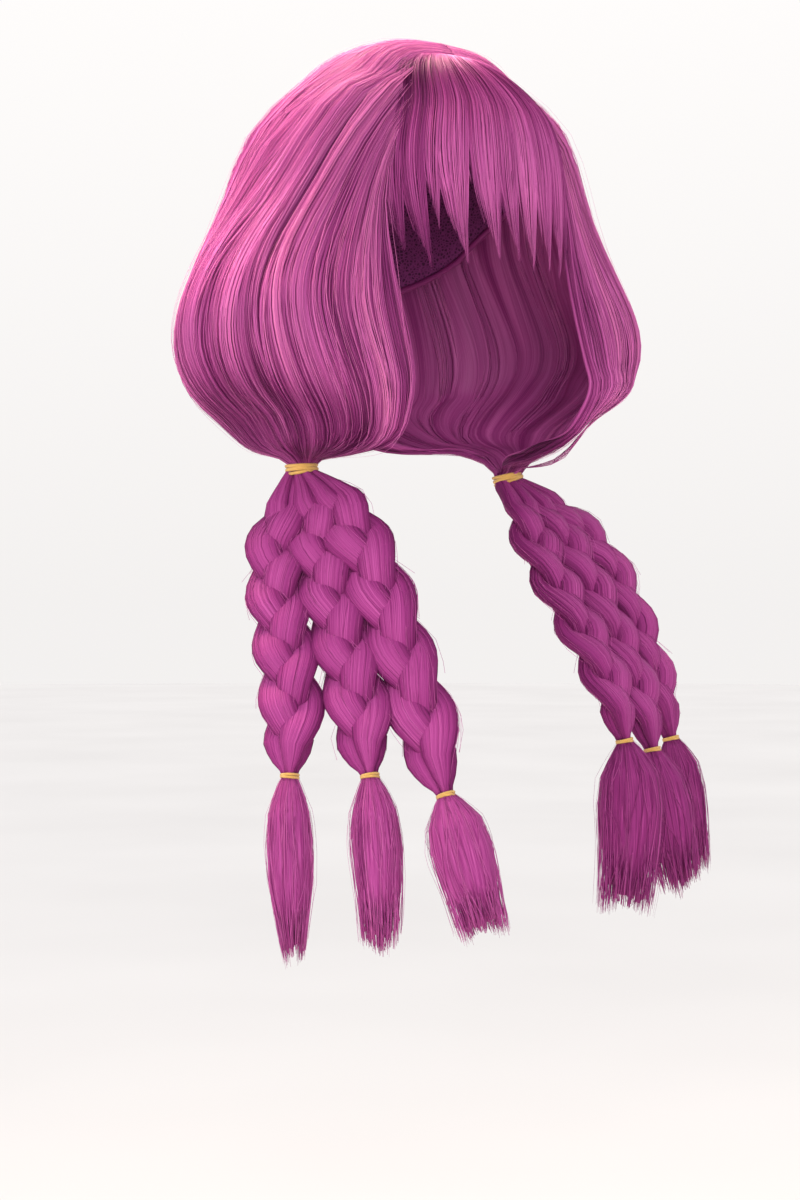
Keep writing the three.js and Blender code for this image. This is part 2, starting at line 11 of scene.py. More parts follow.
import bpy
import numpy as np
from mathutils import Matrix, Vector


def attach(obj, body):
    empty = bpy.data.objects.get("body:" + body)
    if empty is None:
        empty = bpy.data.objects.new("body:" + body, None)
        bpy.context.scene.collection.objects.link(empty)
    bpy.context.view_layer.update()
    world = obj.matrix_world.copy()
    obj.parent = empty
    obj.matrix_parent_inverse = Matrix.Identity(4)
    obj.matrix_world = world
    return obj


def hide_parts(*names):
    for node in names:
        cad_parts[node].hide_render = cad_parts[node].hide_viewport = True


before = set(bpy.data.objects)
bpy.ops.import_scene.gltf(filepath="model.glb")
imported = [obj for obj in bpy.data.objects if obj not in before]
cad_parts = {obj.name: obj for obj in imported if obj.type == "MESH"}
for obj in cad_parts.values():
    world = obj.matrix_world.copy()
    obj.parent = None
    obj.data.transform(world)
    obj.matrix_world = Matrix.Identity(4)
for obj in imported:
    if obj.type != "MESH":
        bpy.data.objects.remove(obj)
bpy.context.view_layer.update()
bpy.ops.object.select_all(action="DESELECT")
MM = 0.001
print("Solids in the frame:", len(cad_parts))

# %% [markdown]
# ## Camera and light
# The camera stands in front of the wig and towards the wearer's right. It is level, at the height of the
# plaits' upper half, with a rather long lens that keeps the proportions calm. A warm lamp above and behind
# gives the crown its pale rim, a large soft one in front shows the locks, a weak one lightens the left of
# the picture, and pale surroundings fill the shadows.

# %% Camera
CAMERA_PLACE = (-0.683, -0.9315, -0.308)
CAMERA_TURN = math.radians(-36)
bpy.ops.object.camera_add(location=CAMERA_PLACE, rotation=(math.radians(90), 0, CAMERA_TURN))
camera = bpy.context.object
camera.data.lens = 60
camera.data.sensor_width = 36
scene = bpy.context.scene
scene.camera = camera
print("Camera at", CAMERA_PLACE)

# %% Lights and surroundings
AIM = Vector((0, 0, -0.2))
ROOM_LOW = (0.90, 0.88, 0.87, 1)
ROOM_HIGH = (1.25, 1.23, 1.22, 1)


def area_light(name, place, size, power, colour):
    """A square soft light at a place, facing the wig."""
    bpy.ops.object.light_add(type="AREA", location=place)
    light = bpy.context.object
    light.name = name
    light.rotation_euler = (AIM - Vector(place)).to_track_quat("-Z", "Y").to_euler()
    light.data.size = size
    light.data.energy = power
    light.data.color = colour


scene.view_settings.view_transform = "Standard"
area_light("key_light", (-0.18, 0.44, 1.18), 0.7, 88, (1.0, 0.75, 0.57))
area_light("front_light", (-1.25, -2.1, 0.2), 1.8, 44, (1.0, 0.98, 0.98))
area_light("left_light", (-2.0, 0.3, -0.1), 1.2, 16, (1.0, 0.93, 0.90))
world = bpy.data.worlds.new("pale_room")
world.use_nodes = True
room = world.node_tree
direction = room.nodes.new("ShaderNodeTexCoord")
height = room.nodes.new("ShaderNodeSeparateXYZ")
shade = room.nodes.new("ShaderNodeValToRGB")
room.links.new(direction.outputs["Generated"], height.inputs[0])
room.links.new(height.outputs["Z"], shade.inputs[0])
room.links.new(shade.outputs[0], room.nodes["Background"].inputs["Color"])
shade.color_ramp.elements[0].color = ROOM_LOW
shade.color_ramp.elements[1].color = ROOM_HIGH
scene.world = world

# %% [markdown]
# ## Finishes
# Every material here is a few nodes: a measure that changes over the surface, a ramp that turns it into
# colour, and one shader. A small class lets the sums be written as sums. Arithmetic on a `Number` adds
# Math nodes, and `Finish.node` adds any other kind. The steps that every finish repeats have a method each.

# %% Shader arithmetic
class Number:
    """A value in a material. Arithmetic on it adds Math nodes."""

    def __init__(self, finish, socket):
        self.finish = finish
        self.socket = socket

    def combined(self, operation, first, second):
        return self.finish.node("ShaderNodeMath", {"operation": operation}, {0: first, 1: second})

    def __add__(self, other):
        return self.combined("ADD", self, other)

    def __sub__(self, other):
        return self.combined("SUBTRACT", self, other)

    def __rsub__(self, other):
        return self.combined("SUBTRACT", other, self)

    def __mul__(self, other):
        return self.combined("MULTIPLY", self, other)

    __radd__ = __add__
    __rmul__ = __mul__


class Finish:
    """A material with one Principled surface. Constants go straight onto its sockets."""

    def __init__(self, name, constants):
        self.material = bpy.data.materials.new(name)
        self.material.use_nodes = True
        self.tree = self.material.node_tree
        self.surface = self.tree.nodes["Principled BSDF"]
        for socket, value in constants.items():
            self.surface.inputs[socket].default_value = value

    def node(self, kind, settings=None, inputs=None, output=0):
        node = self.tree.nodes.new(kind)
        for setting, value in (settings or {}).items():
            if setting == "stops":
                self.set_stops(node.color_ramp.elements, value)
            else:
                setattr(node, setting, value)
        for socket, value in (inputs or {}).items():
            self.feed(node.inputs[socket], value)
        return Number(self, node.outputs[output])

    def set_stops(self, elements, stops):
        while len(elements) < len(stops):
            elements.new(0.5)
        for element, (position, colour) in zip(elements, stops):
            element.position = position
            element.color = (*colour, 1)

    def feed(self, socket, value):
        if isinstance(value, Number):
            self.tree.links.new(value.socket, socket)
        else:
            socket.default_value = value

    def flow(self):
        """Places on the piece's own map, which follows the hair or the thread."""
        return self.node("ShaderNodeUVMap", {"uv_map": "UVMap"})

    def scaled_flow(self, first, second):
        """Those places, scaled in each of the map's two directions."""
        scale = (first, second, 1.0)
        return self.node("ShaderNodeMapping", {}, {"Vector": self.flow(), "Scale": scale})

    def place(self):
        """Places in the wig's own frame."""
        return self.node("ShaderNodeTexCoord", {}, {}, "Object")

    def noise(self, vector, scale, detail, dimensions="3D"):
        return self.node("ShaderNodeTexNoise", {"noise_dimensions": dimensions},
                         {"Vector": vector, "Scale": scale, "Detail": detail})

    def paint(self, stops, shade):
        """Colours the surface by a ramp."""
        colour = self.node("ShaderNodeValToRGB", {"stops": stops}, {"Fac": shade})
        self.feed(self.surface.inputs["Base Color"], colour)

    def emboss(self, height, strength, distance):
        """Gives the surface a fine relief."""
        relief = self.node("ShaderNodeBump", {},
                           {"Height": height, "Strength": strength, "Distance": distance})
        self.feed(self.surface.inputs["Normal"], relief)


print("Shader helpers ready")

# %% [markdown]
# ### Hair
# Synthetic wig fibre is smooth and a little shiny. Up close no two fibres have quite the same colour: most
# are magenta, and their tone differs at random. The tone also carries painted light and shade: fibres that
# lie deep, under others or inside the hair are painted dark plum as shade, and those on the crest of a lock
# are painted a paler pink as a painted highlight. Each fibre carries a number called `tone`, and one ramp
# turns tone into colour. The bodies under the fibres have no fibres of their own, so streaks of noise drawn
# out along the hair's flow stand in for them. Plaited hair turns its fibres every way and so shines less
# than hair that hangs straight.

# %% Hair finishes
HAIR_TONES = [
    (0.0, (0.060, 0.001, 0.036)),
    (0.3, (0.226, 0.024, 0.144)),
    (0.55, (0.428, 0.084, 0.285)),
    (0.8, (0.590, 0.148, 0.378)),
    (1.0, (0.750, 0.235, 0.445)),
]
HAIR_SHADER = {"Roughness": 0.48, "Specular IOR Level": 0.16}
PLAIT_SHADER = {"Roughness": 0.62, "Specular IOR Level": 0.10}
STREAK_CONTRAST = 0.55


def fibre_finish(name, constants):
    """For separate fibres, coloured by their own tone with finer streaks along them."""
    finish = Finish(name, constants)
    tone = finish.node("ShaderNodeAttribute", {"attribute_name": "tone"}, {}, "Fac")
    streaks = finish.noise(finish.flow(), 1.0, 3.0, "2D")
    finish.paint(HAIR_TONES, tone + (streaks - 0.5) * STREAK_CONTRAST)
    finish.emboss(streaks, 0.6, 0.0004)
    return finish


def body_finish():
    """For the body under the fibres: fine and broad streaks along the flow."""
    finish = Finish("hair_body", HAIR_SHADER)
    fine = finish.noise(finish.scaled_flow(420.0, 3.0), 1.0, 2.0)
    broad = finish.noise(finish.scaled_flow(36.0, 1.4), 1.0, 2.0)
    finish.paint(HAIR_TONES, (fine * 0.45 + broad * 0.8) - 0.2)
    finish.emboss(fine, 0.7, 0.0007)
    return finish


hair_fibre = fibre_finish("hair_fibre", HAIR_SHADER)
hair_plait = fibre_finish("hair_plait", PLAIT_SHADER)
hair_body = body_finish()
print("Finishes:", hair_fibre.material.name, hair_plait.material.name, hair_body.material.name)

# %% [markdown]
# ### Elastic, net and floor
# The bands are matt mustard elastic with the fine ribs of a covered thread. The cap is a plum net. The
# wig hangs in the air as when it is worn, so the floor is only a plain pale sheet far below it.

# %% Elastic, net and floor finishes
ELASTIC_SHADER = {"Roughness": 0.62, "Specular IOR Level": 0.35, "Sheen Weight": 0.2}
ELASTIC_TONES = [(0.0, (0.33, 0.17, 0.035)), (0.5, (0.58, 0.33, 0.075)), (1.0, (0.74, 0.47, 0.14))]
NET_SHADER = {"Roughness": 0.85, "Specular IOR Level": 0.2}
NET_TONES = [(0.0, (0.20, 0.03, 0.15)), (0.12, (0.15, 0.022, 0.115)), (0.3, (0.055, 0.008, 0.043))]
FLOOR_SHADER = {"Roughness": 0.8, "Specular IOR Level": 0.2}
FLOOR_TONES = [(0.3, (0.75, 0.74, 0.74)), (0.7, (0.79, 0.78, 0.78))]
FLOOR_RADIUS = 30
FLOOR_Z = -1.6


def elastic_finish():
    finish = Finish("mustard_elastic", ELASTIC_SHADER)
    flow = finish.scaled_flow(150.0, 6.0)
    ribs = finish.node("ShaderNodeTexWave", {"bands_direction": "X"},
                       {"Vector": flow, "Scale": 0.32, "Distortion": 1.4})
    worn = finish.noise(flow, 0.12, 3.0)
    finish.paint(ELASTIC_TONES, ribs * 0.35 + worn * 0.65)
    finish.emboss(ribs, 0.5, 0.0003)
    return finish


def net_finish():
    finish = Finish("cap_net", NET_SHADER)
    cells = finish.node("ShaderNodeTexVoronoi", {"feature": "DISTANCE_TO_EDGE"},
                        {"Vector": finish.place(), "Scale": 520.0}, "Distance")
    finish.paint(NET_TONES, cells)
    finish.emboss(1 - cells, 0.6, 0.0004)
    return finish


def floor_finish():
    finish = Finish("pale_floor", FLOOR_SHADER)
    finish.paint(FLOOR_TONES, finish.noise(finish.place(), 0.6, 2.0))
    return finish


elastic = elastic_finish()
cap_net = net_finish()
bpy.ops.mesh.primitive_circle_add(vertices=128, radius=FLOOR_RADIUS, fill_type="NGON",
                                  location=(0, 0, FLOOR_Z))
floor = bpy.context.object
floor.name = "floor"
floor.data.materials.append(floor_finish().material)
print("Floor at", FLOOR_Z)

# %% [markdown]
# ## Tools for hair
# A fibre is a thin closed tube along a path. Thousands of them are made at once from arrays, because
# adding them one by one would take minutes. Three sides are enough for a tube this thin: smooth shading
# rounds it off. Each tube also gets a strip of its own on a texture map, so that its colours can be baked.

# %% Smooth paths
CURVE_STEPS = 24


def unit(vectors):
    return vectors / np.maximum(np.linalg.norm(vectors, axis=-1, keepdims=True), 1e-9)


def blend(value, start, end):
    """A smooth step from 0 at start to 1 at end."""
    t = np.clip((value - start) / (end - start), 0, 1)
    return t * t * (3 - 2 * t)


def mix(a, b, share):
    return a + (b - a) * share


def smooth_path(points, count):
    """Evenly spaced points on a smooth curve through the given ones."""
    points = np.asarray(points, float)
    ends = [2 * points[0] - points[1], 2 * points[-1] - points[-2]]
    knots = np.concatenate([ends[:1], points, ends[1:]])
    chord = np.concatenate([[0], np.cumsum(np.sqrt(np.linalg.norm(np.diff(knots, axis=0), axis=1)))])
    slopes = np.gradient(knots, chord, axis=0)
    dense = np.linspace(chord[1], chord[-2], CURVE_STEPS * len(points))
    i = np.clip(np.searchsorted(chord, dense, side="right") - 1, 1, len(chord) - 3)
    step = (chord[i + 1] - chord[i])[:, None]
    x = (dense - chord[i])[:, None] / step
    curve = (
        (1 + 2 * x) * (1 - x) ** 2 * knots[i]
        + x * (1 - x) ** 2 * step * slopes[i]
        + x * x * (3 - 2 * x) * knots[i + 1]
        + x * x * (x - 1) * step * slopes[i + 1]
    )
    length = np.concatenate([[0], np.cumsum(np.linalg.norm(np.diff(curve, axis=0), axis=1))])
    even = np.linspace(0, length[-1], count)
    return np.stack([np.interp(even, length, curve[:, k]) for k in range(3)], 1)


print("A smooth path of 3 points:", smooth_path([(0, 0, 0), (1, 1, 0), (2, 0, 0)], 3).round(2).tolist())

# %% Tubes from arrays
FIBRE_SIDES = 3
FIBRE_STREAKS = 4


def tubes(paths, outward, half_width, half_depth, tone, sides=FIBRE_SIDES, streaks=FIBRE_STREAKS):
    """Rings of points round many paths. Arrays run over fibres, then along them; tone may go on round."""
    along = unit(np.gradient(paths, axis=1))
    outward = unit(outward - (outward * along).sum(-1, keepdims=True) * along)
    across = np.cross(outward, along)
    turn = np.linspace(0, 2 * np.pi, sides, endpoint=False) + np.pi / 2
    shape = paths.shape[:2]
    wide = np.broadcast_to(half_width, shape)[..., None] * np.cos(turn)
    deep = np.broadcast_to(half_depth, shape)[..., None] * np.sin(turn)
    rings = paths[:, :, None] + across[:, :, None] * wide[..., None] + outward[:, :, None] * deep[..., None]
    tone = np.asarray(tone)
    tone = tone if tone.ndim == 3 else np.broadcast_to(tone, shape)[..., None]
    return {"rings": rings, "tone": np.broadcast_to(tone, rings.shape[:3]), "streaks": streaks}


print("Sides of a fibre:", FIBRE_SIDES)

# %% Faces and maps of tubes
STREAK_LENGTH = 3
STREAK_SHIFT = 7.3
BAKE_ROWS = 4
STRIP_FILL = 0.86
CAP_MARGIN = 0.08


def tube_faces(shape, first):
    """Corners of the sides and end caps of tubes whose points are numbered from first."""
    index = first + np.arange(math.prod(shape)).reshape(shape)
    beside = np.roll(index, -1, axis=2)
    quads = np.stack([index[:, :-1], beside[:, :-1], beside[:, 1:], index[:, 1:]], -1)
    caps = np.stack([index[:, 0, ::-1], index[:, -1]], 1)
    return quads, caps


def tube_maps(shape, streaks, made, columns):
    """Places of those corners on the flow map, and in each tube's own strip of the bake map."""
    count, rows, sides = shape
    tube = made + np.arange(count)
    across = (np.arange(sides)[:, None] + [0, 1, 1, 0]) / sides
    along = (np.arange(rows - 1)[:, None, None] + [0, 0, 1, 1]) / (rows - 1)
    flow_across = STREAK_SHIFT * tube[:, None, None, None] + streaks * across
    flow = np.stack(np.broadcast_arrays(flow_across, STREAK_LENGTH * along), -1)
    strip = STRIP_FILL * np.array([1 / columns, 1 / BAKE_ROWS])
    corner = np.stack([(tube % columns) / columns, (tube // columns) / BAKE_ROWS], -1)
    quad_map = np.stack(np.broadcast_arrays(across, along), -1)
    cap_map = np.stack([np.arange(sides) / sides, 1 + CAP_MARGIN * (np.arange(sides) % 2)], -1)
    quad_strips = corner[:, None, None, None] + strip * quad_map
    cap_strips = corner[:, None, None] + strip * np.stack([cap_map, cap_map])
    flat_caps = np.zeros((2 * count * sides, 2))
    return [flow.reshape(-1, 2), flat_caps], [quad_strips.reshape(-1, 2), cap_strips.reshape(-1, 2)]


print("Rows of strips on the bake map:", BAKE_ROWS)

# %% Mesh of tubes
def mesh_of(name, bundles):
    """One mesh of closed tubes, with a tone on every point and a strip of the bake map for every tube."""
    columns = math.ceil(sum(len(bundle["rings"]) for bundle in bundles) / BAKE_ROWS)
    corners, starts, flows, strips = [], [], [], []
    points = loops = made = 0
    for bundle in bundles:
        shape = bundle["rings"].shape[:3]
        count, rows, sides = shape
        quads, caps = tube_faces(shape, points)
        corners += [quads.ravel(), caps.ravel()]
        starts.append(loops + 4 * np.arange(quads.size // 4))
        starts.append(loops + quads.size + sides * np.arange(2 * count))
        bundle_flows, bundle_strips = tube_maps(shape, bundle["streaks"], made, columns)
        flows += bundle_flows
        strips += bundle_strips
        points += count * rows * sides
        loops += quads.size + caps.size
        made += count
    places = np.concatenate([bundle["rings"].reshape(-1, 3) for bundle in bundles])
    tones = np.concatenate([bundle["tone"].ravel() for bundle in bundles])
    first = np.concatenate(starts).astype(np.int32)
    mesh = bpy.data.meshes.new(name)
    mesh.vertices.add(points)
    mesh.vertices.foreach_set("co", places.astype(np.float32).ravel())
    mesh.loops.add(loops)
    mesh.loops.foreach_set("vertex_index", np.concatenate(corners).astype(np.int32))
    mesh.polygons.add(len(first))
    mesh.polygons.foreach_set("loop_start", first)
    mesh.polygons.foreach_set("use_smooth", np.ones(len(first), bool))
    mesh.update(calc_edges=True)
    for layer, corner_places in (("UVMap", flows), ("OFBake", strips)):
        uv = mesh.uv_layers.new(name=layer).uv
        uv.foreach_set("vector", np.concatenate(corner_places).astype(np.float32).ravel())
    tone = mesh.attributes.new("tone", "FLOAT", "POINT")
    tone.data.foreach_set("value", tones.astype(np.float32))
    return mesh


def triangles(piece):
    return sum(len(face.vertices) - 2 for face in piece.data.polygons)


def settle(piece, finish, slot, *nodes):
    """Gives a finished piece its material, lets it ride with the wig and stand for its solids."""
    piece.data.materials.clear()
    piece.data.materials.append(finish.material)
    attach(piece, "root")
    if nodes:
        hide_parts(*nodes)
    print(piece.name, triangles(piece), "triangles")


def fibre_piece(name, bundles, finish, *nodes):
    piece = bpy.data.objects.new(name, mesh_of(name, bundles))
    scene.collection.objects.link(piece)
    settle(piece, finish, "hair", *nodes)


print("Hair tools ready")

# %% [markdown]
# ## The crown's form
# Everything on the crown lies over the same rounded dome, so its formula comes first. The cap is that
# dome with a thin wall, and the hair lies at given heights over it.

# %% Dome
DOME = {"half_width": 73, "half_length": 92, "height": 95, "fullness": 2.5}
DOME_MIDDLE = np.array([0, 0, -DOME["height"]])
CAP_WALL = 1.5


def dome_point(azimuth, polar, offset):
    """A point of the dome grown by an offset, in millimetres. Azimuth 0 is straight ahead."""
    round_off = 2 / DOME["fullness"]
    reach = np.sin(polar) ** round_off
    rise = np.sign(np.cos(polar)) * np.abs(np.cos(polar)) ** round_off
    return np.stack([
        (DOME["half_width"] + offset) * reach * np.sin(azimuth),
        -(DOME["half_length"] + offset) * reach * np.cos(azimuth),
        (DOME["height"] + offset) * rise - DOME["height"] + 0 * azimuth,
    ], -1)


def dome_top(x, y, offset):
    spread = np.hypot(x / (DOME["half_width"] + offset), y / (DOME["half_length"] + offset))
    share = np.maximum(0, 1 - spread ** DOME["fullness"]) ** (1 / DOME["fullness"])
    return (DOME["height"] + offset) * share - DOME["height"]


def polar_at(z, offset):
    level = (z + DOME["height"]) / (DOME["height"] + offset)
    return np.arccos(np.clip(np.sign(level) * np.abs(level) ** (DOME["fullness"] / 2), -1, 1))


print("Top of the cap:", dome_point(0.0, 0.0, CAP_WALL).round(2).tolist())

# %% [markdown]
# ## Cap
# Inside the wig a net cap carries rows of wefts, which are strips of hair sewn on edge to edge. The cap's
# solid is right in shape but coarse, so a copy is welded and smoothed with a Subdivision Surface. The
# wefts are thin bands that follow the cap's own rows on the inside, with a rolled hem at the rim.

# %% Cap dome
WELD_DISTANCE = 0.00001
bpy.ops.object.select_all(action="DESELECT")
cap_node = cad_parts["wig_cap"]
cap_node.select_set(True)
bpy.context.view_layer.objects.active = cap_node
bpy.ops.object.duplicate()
cap = bpy.context.object
cap.name = "cap_dome"
for key in list(cap.keys()):
    del cap[key]
bpy.ops.object.mode_set(mode="EDIT")
bpy.ops.mesh.select_all(action="SELECT")
bpy.ops.mesh.remove_doubles(threshold=WELD_DISTANCE)
bpy.ops.object.mode_set(mode="OBJECT")
rounding = cap.modifiers.new("rounding", "SUBSURF")
rounding.levels = 2
rounding.render_levels = 2
bpy.ops.object.modifier_apply(modifier="rounding")
bpy.ops.object.shade_smooth()
settle(cap, cap_net, "cap_net", "wig_cap")

# %% Wefts
RIM_FRONT = math.radians(61)
RIM_NAPE = math.radians(104)
RIM_POINTS = 73
WEFT_ROWS = 9
WEFT_INSET = 0.4
WEFT = {"half_width": 2.3, "half_depth": 0.8, "tone": 0.3, "variation": 0.1, "sides": 6}
HEM = {"half_width": 2.0, "half_depth": 1.6, "tone": 0.24, "sides": 8}


def weft_tubes(rows, size, tone):
    """Bands along rows of places on the cap, facing the dome's middle."""
    return tubes(rows * MM, unit(DOME_MIDDLE - rows), size["half_width"] * MM, size["half_depth"] * MM,
                 tone, size["sides"])


around = np.linspace(0, 2 * np.pi, RIM_POINTS)
rim = mix(RIM_FRONT, RIM_NAPE, (1 - np.cos(around)) / 2)
weft_shares = (np.arange(WEFT_ROWS) + 2) / (WEFT_ROWS + 1)
weft_rows = np.array([dome_point(around, rim * share, -WEFT_INSET) for share in weft_shares])
weft_tone = WEFT["tone"] + WEFT["variation"] * np.cos(np.arange(WEFT_ROWS) * 2.1)[:, None]
wefts = weft_tubes(weft_rows, WEFT, weft_tone)
hem = weft_tubes(weft_rows[-1:], HEM, HEM["tone"])
fibre_piece("cap_wefts", [wefts, hem], hair_fibre)

# %% [markdown]
# ## Side masses
# Each half of the hair starts at a short parting on the crown, falls round the wearer in a puffed bob,
# turns in under the jaw and is drawn to a low bunch. Half-rings from the parting down to the bunch give its
# form. They are nearly the rings that its solid was made from, but the top ones sweep further over the
# fringe, and at the front the hair is gathered later. A smooth curve through one place on every ring is
# the way that a fibre takes, so the rings make a field that can be asked for any place across and down the
# hair, and for the direction that points out of it.

# %% Rings of a side mass
RING_COLUMNS = ("lift", "z_front", "z_back", "lateral", "front", "back", "start",
                "gather_front", "gather_back", "bunch")
RINGS = [dict(zip(RING_COLUMNS, row)) for row in (
    (6.5, 0, 0, 0.8, 60, 16, 0, 0, 0, 9),
    (9, 0, 0, 26, 62, 48, 1.5, 0, 0, 9),
    (13, 0, 0, 45, 64, 65, 3.5, 0, 0, 9),
    (17, 0, 0, 62, 67, 80, 7, 0, 0, 9),
    (0, -30, -30, 79, 68, 97, 13, 0, 0, 9),
    (0, -52, -54, 92, 71, 107, 22, 0, 0, 9),
    (0, -85, -87, 106, 70, 109, 24, 0, 0, 9),
    (0, -118, -120, 127, 73, 103, 17.5, 0, 0, 9),
    (0, -150, -150, 141, 82, 98, 14.5, 0, 0, 9),
    (0, -174, -172, 139, 92, 98, 18.5, 0, 0, 9),
    (0, -196, -192, 124, 103, 98, 27, 0, 0, 9),
    (0, -210, -206, 104, 106, 96, 36, 0, 0.06, 9),
    (0, -219, -215, 99, 105, 90, 37, 0.03, 0.2, 9),
    (0, -225, -222, 98, 104, 86, 37, 0.16, 0.46, 9),
    (0, -229, -227, 98, 104, 84, 37, 0.6, 0.82, 9),
    (0, -231.6, -231.6, 98, 104, 84, 37, 1, 1, 8.4),
    (0, -235, -235, 98, 104, 84, 37, 1, 1, 7.2),
    (0, -247, -247, 98, 104, 84, 37, 1, 1, 4.5),
)]
FRONT_EDGE = math.radians(24)
FULLNESS = {"front": (3.5, 2.1), "back": (2.2, 2.7), "depth": (140, 210)}
BUNCH = {"lateral": 73.7, "from_deg": -80, "to_deg": 260, "z": -235}
NECK = {"behind": 8, "radius": 60}
PART_HALF_GAP = 0.4
FRONT_LIFT = 0.45


def ring_points(ring, share):
    """Places on a half-ring, in millimetres, for shares from its front end to the middle of the back."""
    shift = (math.radians(ring["start"]) - FRONT_EDGE) * (1 - share) ** 3
    turn = mix(FRONT_EDGE, np.pi, share) + shift
    ahead = np.cos(turn) > 0
    low = blend(-ring["z_back"], *FULLNESS["depth"])
    power = 2 / np.where(ahead, mix(*FULLNESS["front"], low), mix(*FULLNESS["back"], low))
    reach = np.where(ahead, ring["front"], ring["back"])
    x = ring["lateral"] * np.maximum(0, np.sin(turn)) ** power
    y = -reach * np.sign(np.cos(turn)) * np.abs(np.cos(turn)) ** power
    bunch_turn = np.radians(mix(BUNCH["from_deg"], BUNCH["to_deg"], share))
    gather = mix(ring["gather_front"], ring["gather_back"], share)
    x = mix(x, BUNCH["lateral"] + ring["bunch"] * np.sin(bunch_turn), gather)
    y = mix(y, -ring["bunch"] * np.cos(bunch_turn), gather)
    if ring["gather_back"]:
        behind = y - NECK["behind"]
        away = np.maximum(1, NECK["radius"] / np.hypot(x, behind))
        x, y = x * away, NECK["behind"] + behind * away
    x = np.maximum(PART_HALF_GAP, x)
    z = mix(ring["z_front"], ring["z_back"], share)
    if ring["lift"]:
        z = dome_top(x, y, CAP_WALL) + ring["lift"] * mix(FRONT_LIFT, 1, blend(share, 0, 0.25))
    return np.stack([x, y, z], -1)


print("Rings:", len(RINGS))

# %% [markdown]
# The two masses mirror one field, but on the real wig they differ a little: the parting's front end is
# drawn over to the wearer's right, and the left mass turns in higher and fuller. Modelling each by hand
# would repeat everything, so three small pushes, each fading out over a range of places, do it instead.

# %% Uneven sides
FLIP = {"right": np.array([-1, 1, 1]), "left": np.array([1, 1, 1])}
PULL = {"ahead": (15, 60), "height": (-45, -6), "by": np.array([-12, 0, 0])}
TUCK = {"out": (20, 70), "from": (165, 205), "to": (224, 233), "by": np.array([0, 0, 8])}
BULGE = {"out": (50, 90), "from": (174, 200), "to": (202, 217), "by": np.array([5.2, -3.8, 0])}


def parted(places):
    """Draws the front end of the parting over to the wearer's right. Places are in millimetres."""
    pulled = blend(-places[..., 1], *PULL["ahead"]) * blend(places[..., 2], *PULL["height"])
    return places + pulled[..., None] * PULL["by"]


def tucked(places):
    """Lifts the underside of the wearer's left mass and fills out its lower corner."""
    out, depth = places[..., 0], -places[..., 2]
    for push in (TUCK, BULGE):
        within = blend(depth, *push["from"]) * (1 - blend(depth, *push["to"]))
        places = places + (blend(out, *push["out"]) * within)[..., None] * push["by"]
    return places


def on_side(side, places):
    """Places of the field, in millimetres, as they lie on one side of the wig, in metres."""
    return tucked(parted(places * FLIP[side])) * MM


print("Sides:", list(FLIP))

# %% Field of a side mass
FIELD_STEPS = 161
EASING_ROUNDS = 24
EASING = {"rate": 0.5, "less": 0.96, "down": (0.74, 0.86)}
FLOW_PULL = 1.3
FLOW_END = 0.6


class HairField:
    """Places and outward directions on a sheet of hair, by share across it and share down it."""

    def __init__(self, places):
        self.places = places
        self.outward = unit(np.cross(np.gradient(places, axis=1), np.gradient(places, axis=0)))
        self.perimeter = np.linalg.norm(np.diff(places, axis=0), axis=-1).sum(0)

    def read(self, grid, share, down):
        across = np.clip(share, 0, 1) * (grid.shape[0] - 1)
        below = np.clip(down, 0, 1) * (grid.shape[1] - 1)
        i = np.minimum(across.astype(int), grid.shape[0] - 2)
        j = np.minimum(below.astype(int), grid.shape[1] - 2)
        a = (across - i)[..., None]
        b = (below - j)[..., None]
        return mix(mix(grid[i, j], grid[i + 1, j], a), mix(grid[i, j + 1], grid[i + 1, j + 1], a), b)

    def at(self, share, down):
        share, down = np.broadcast_arrays(share, down)
        return self.read(self.places, share, down), unit(self.read(self.outward, share, down))

    def length_round(self, down):
        return np.interp(down, np.linspace(0, 1, len(self.perimeter)), self.perimeter)


def flow_share(share, down):
    """Where a fibre lies across the hair on its way down: at the top most of them start at the front."""
    return np.clip(share, 0, 1) ** (1 + FLOW_PULL * np.maximum(0, 1 - down / FLOW_END) ** 2)


def eased(grid):
    """Smooths a field down the hair, less and less towards the bunch, with its two ends kept."""
    low = blend(np.linspace(0, 1, grid.shape[1]), *EASING["down"])
    rate = EASING["rate"] * (1 - EASING["less"] * low)[1:-1, None]
    for _ in range(EASING_ROUNDS):
        grid[:, 1:-1] += rate * ((grid[:, :-2] + grid[:, 2:]) / 2 - grid[:, 1:-1])
    return grid


shares = np.linspace(0, 1, FIELD_STEPS)
ways = np.stack([ring_points(ring, shares) for ring in RINGS], 1)
side_field = HairField(eased(np.stack([smooth_path(way, FIELD_STEPS) for way in ways])))
print("Longest way round, mm:", round(side_field.perimeter.max()))

# %% [markdown]
# The body of a side mass is a sheet of that field with the thickness of real hair, so that no light comes
# through. It starts as a grid, its points go to their places in the field, a few broad grooves part it
# into locks, and a Solidify modifier gives it its wall, thinner at the face and in the bunch.

# %% Locks and walls of the side masses
SIDE_LOCKS = 7
GROOVE_DEPTH = 3.0
LOCK_SWAY = 0.016
LOCK_UNEVEN = 0.02
WALL = {"face": 4, "full": 9, "top": 0.4, "bunch": 0.18}
WALL_EDGE = (0, 0.15)
WALL_GATHER = (0.72, 0.88)


def groove(share, down):
    """How deep the parting between two locks is, in millimetres."""
    swing = LOCK_SWAY * np.sin(9 * down + 14 * share) + LOCK_UNEVEN * np.sin(17 * share)
    crest = (0.5 + 0.5 * np.cos(2 * np.pi * SIDE_LOCKS * (share + swing))) ** 3
    return GROOVE_DEPTH * crest * blend(down, 0.05, 0.4) * (1 - blend(down, 0.8, 0.95))


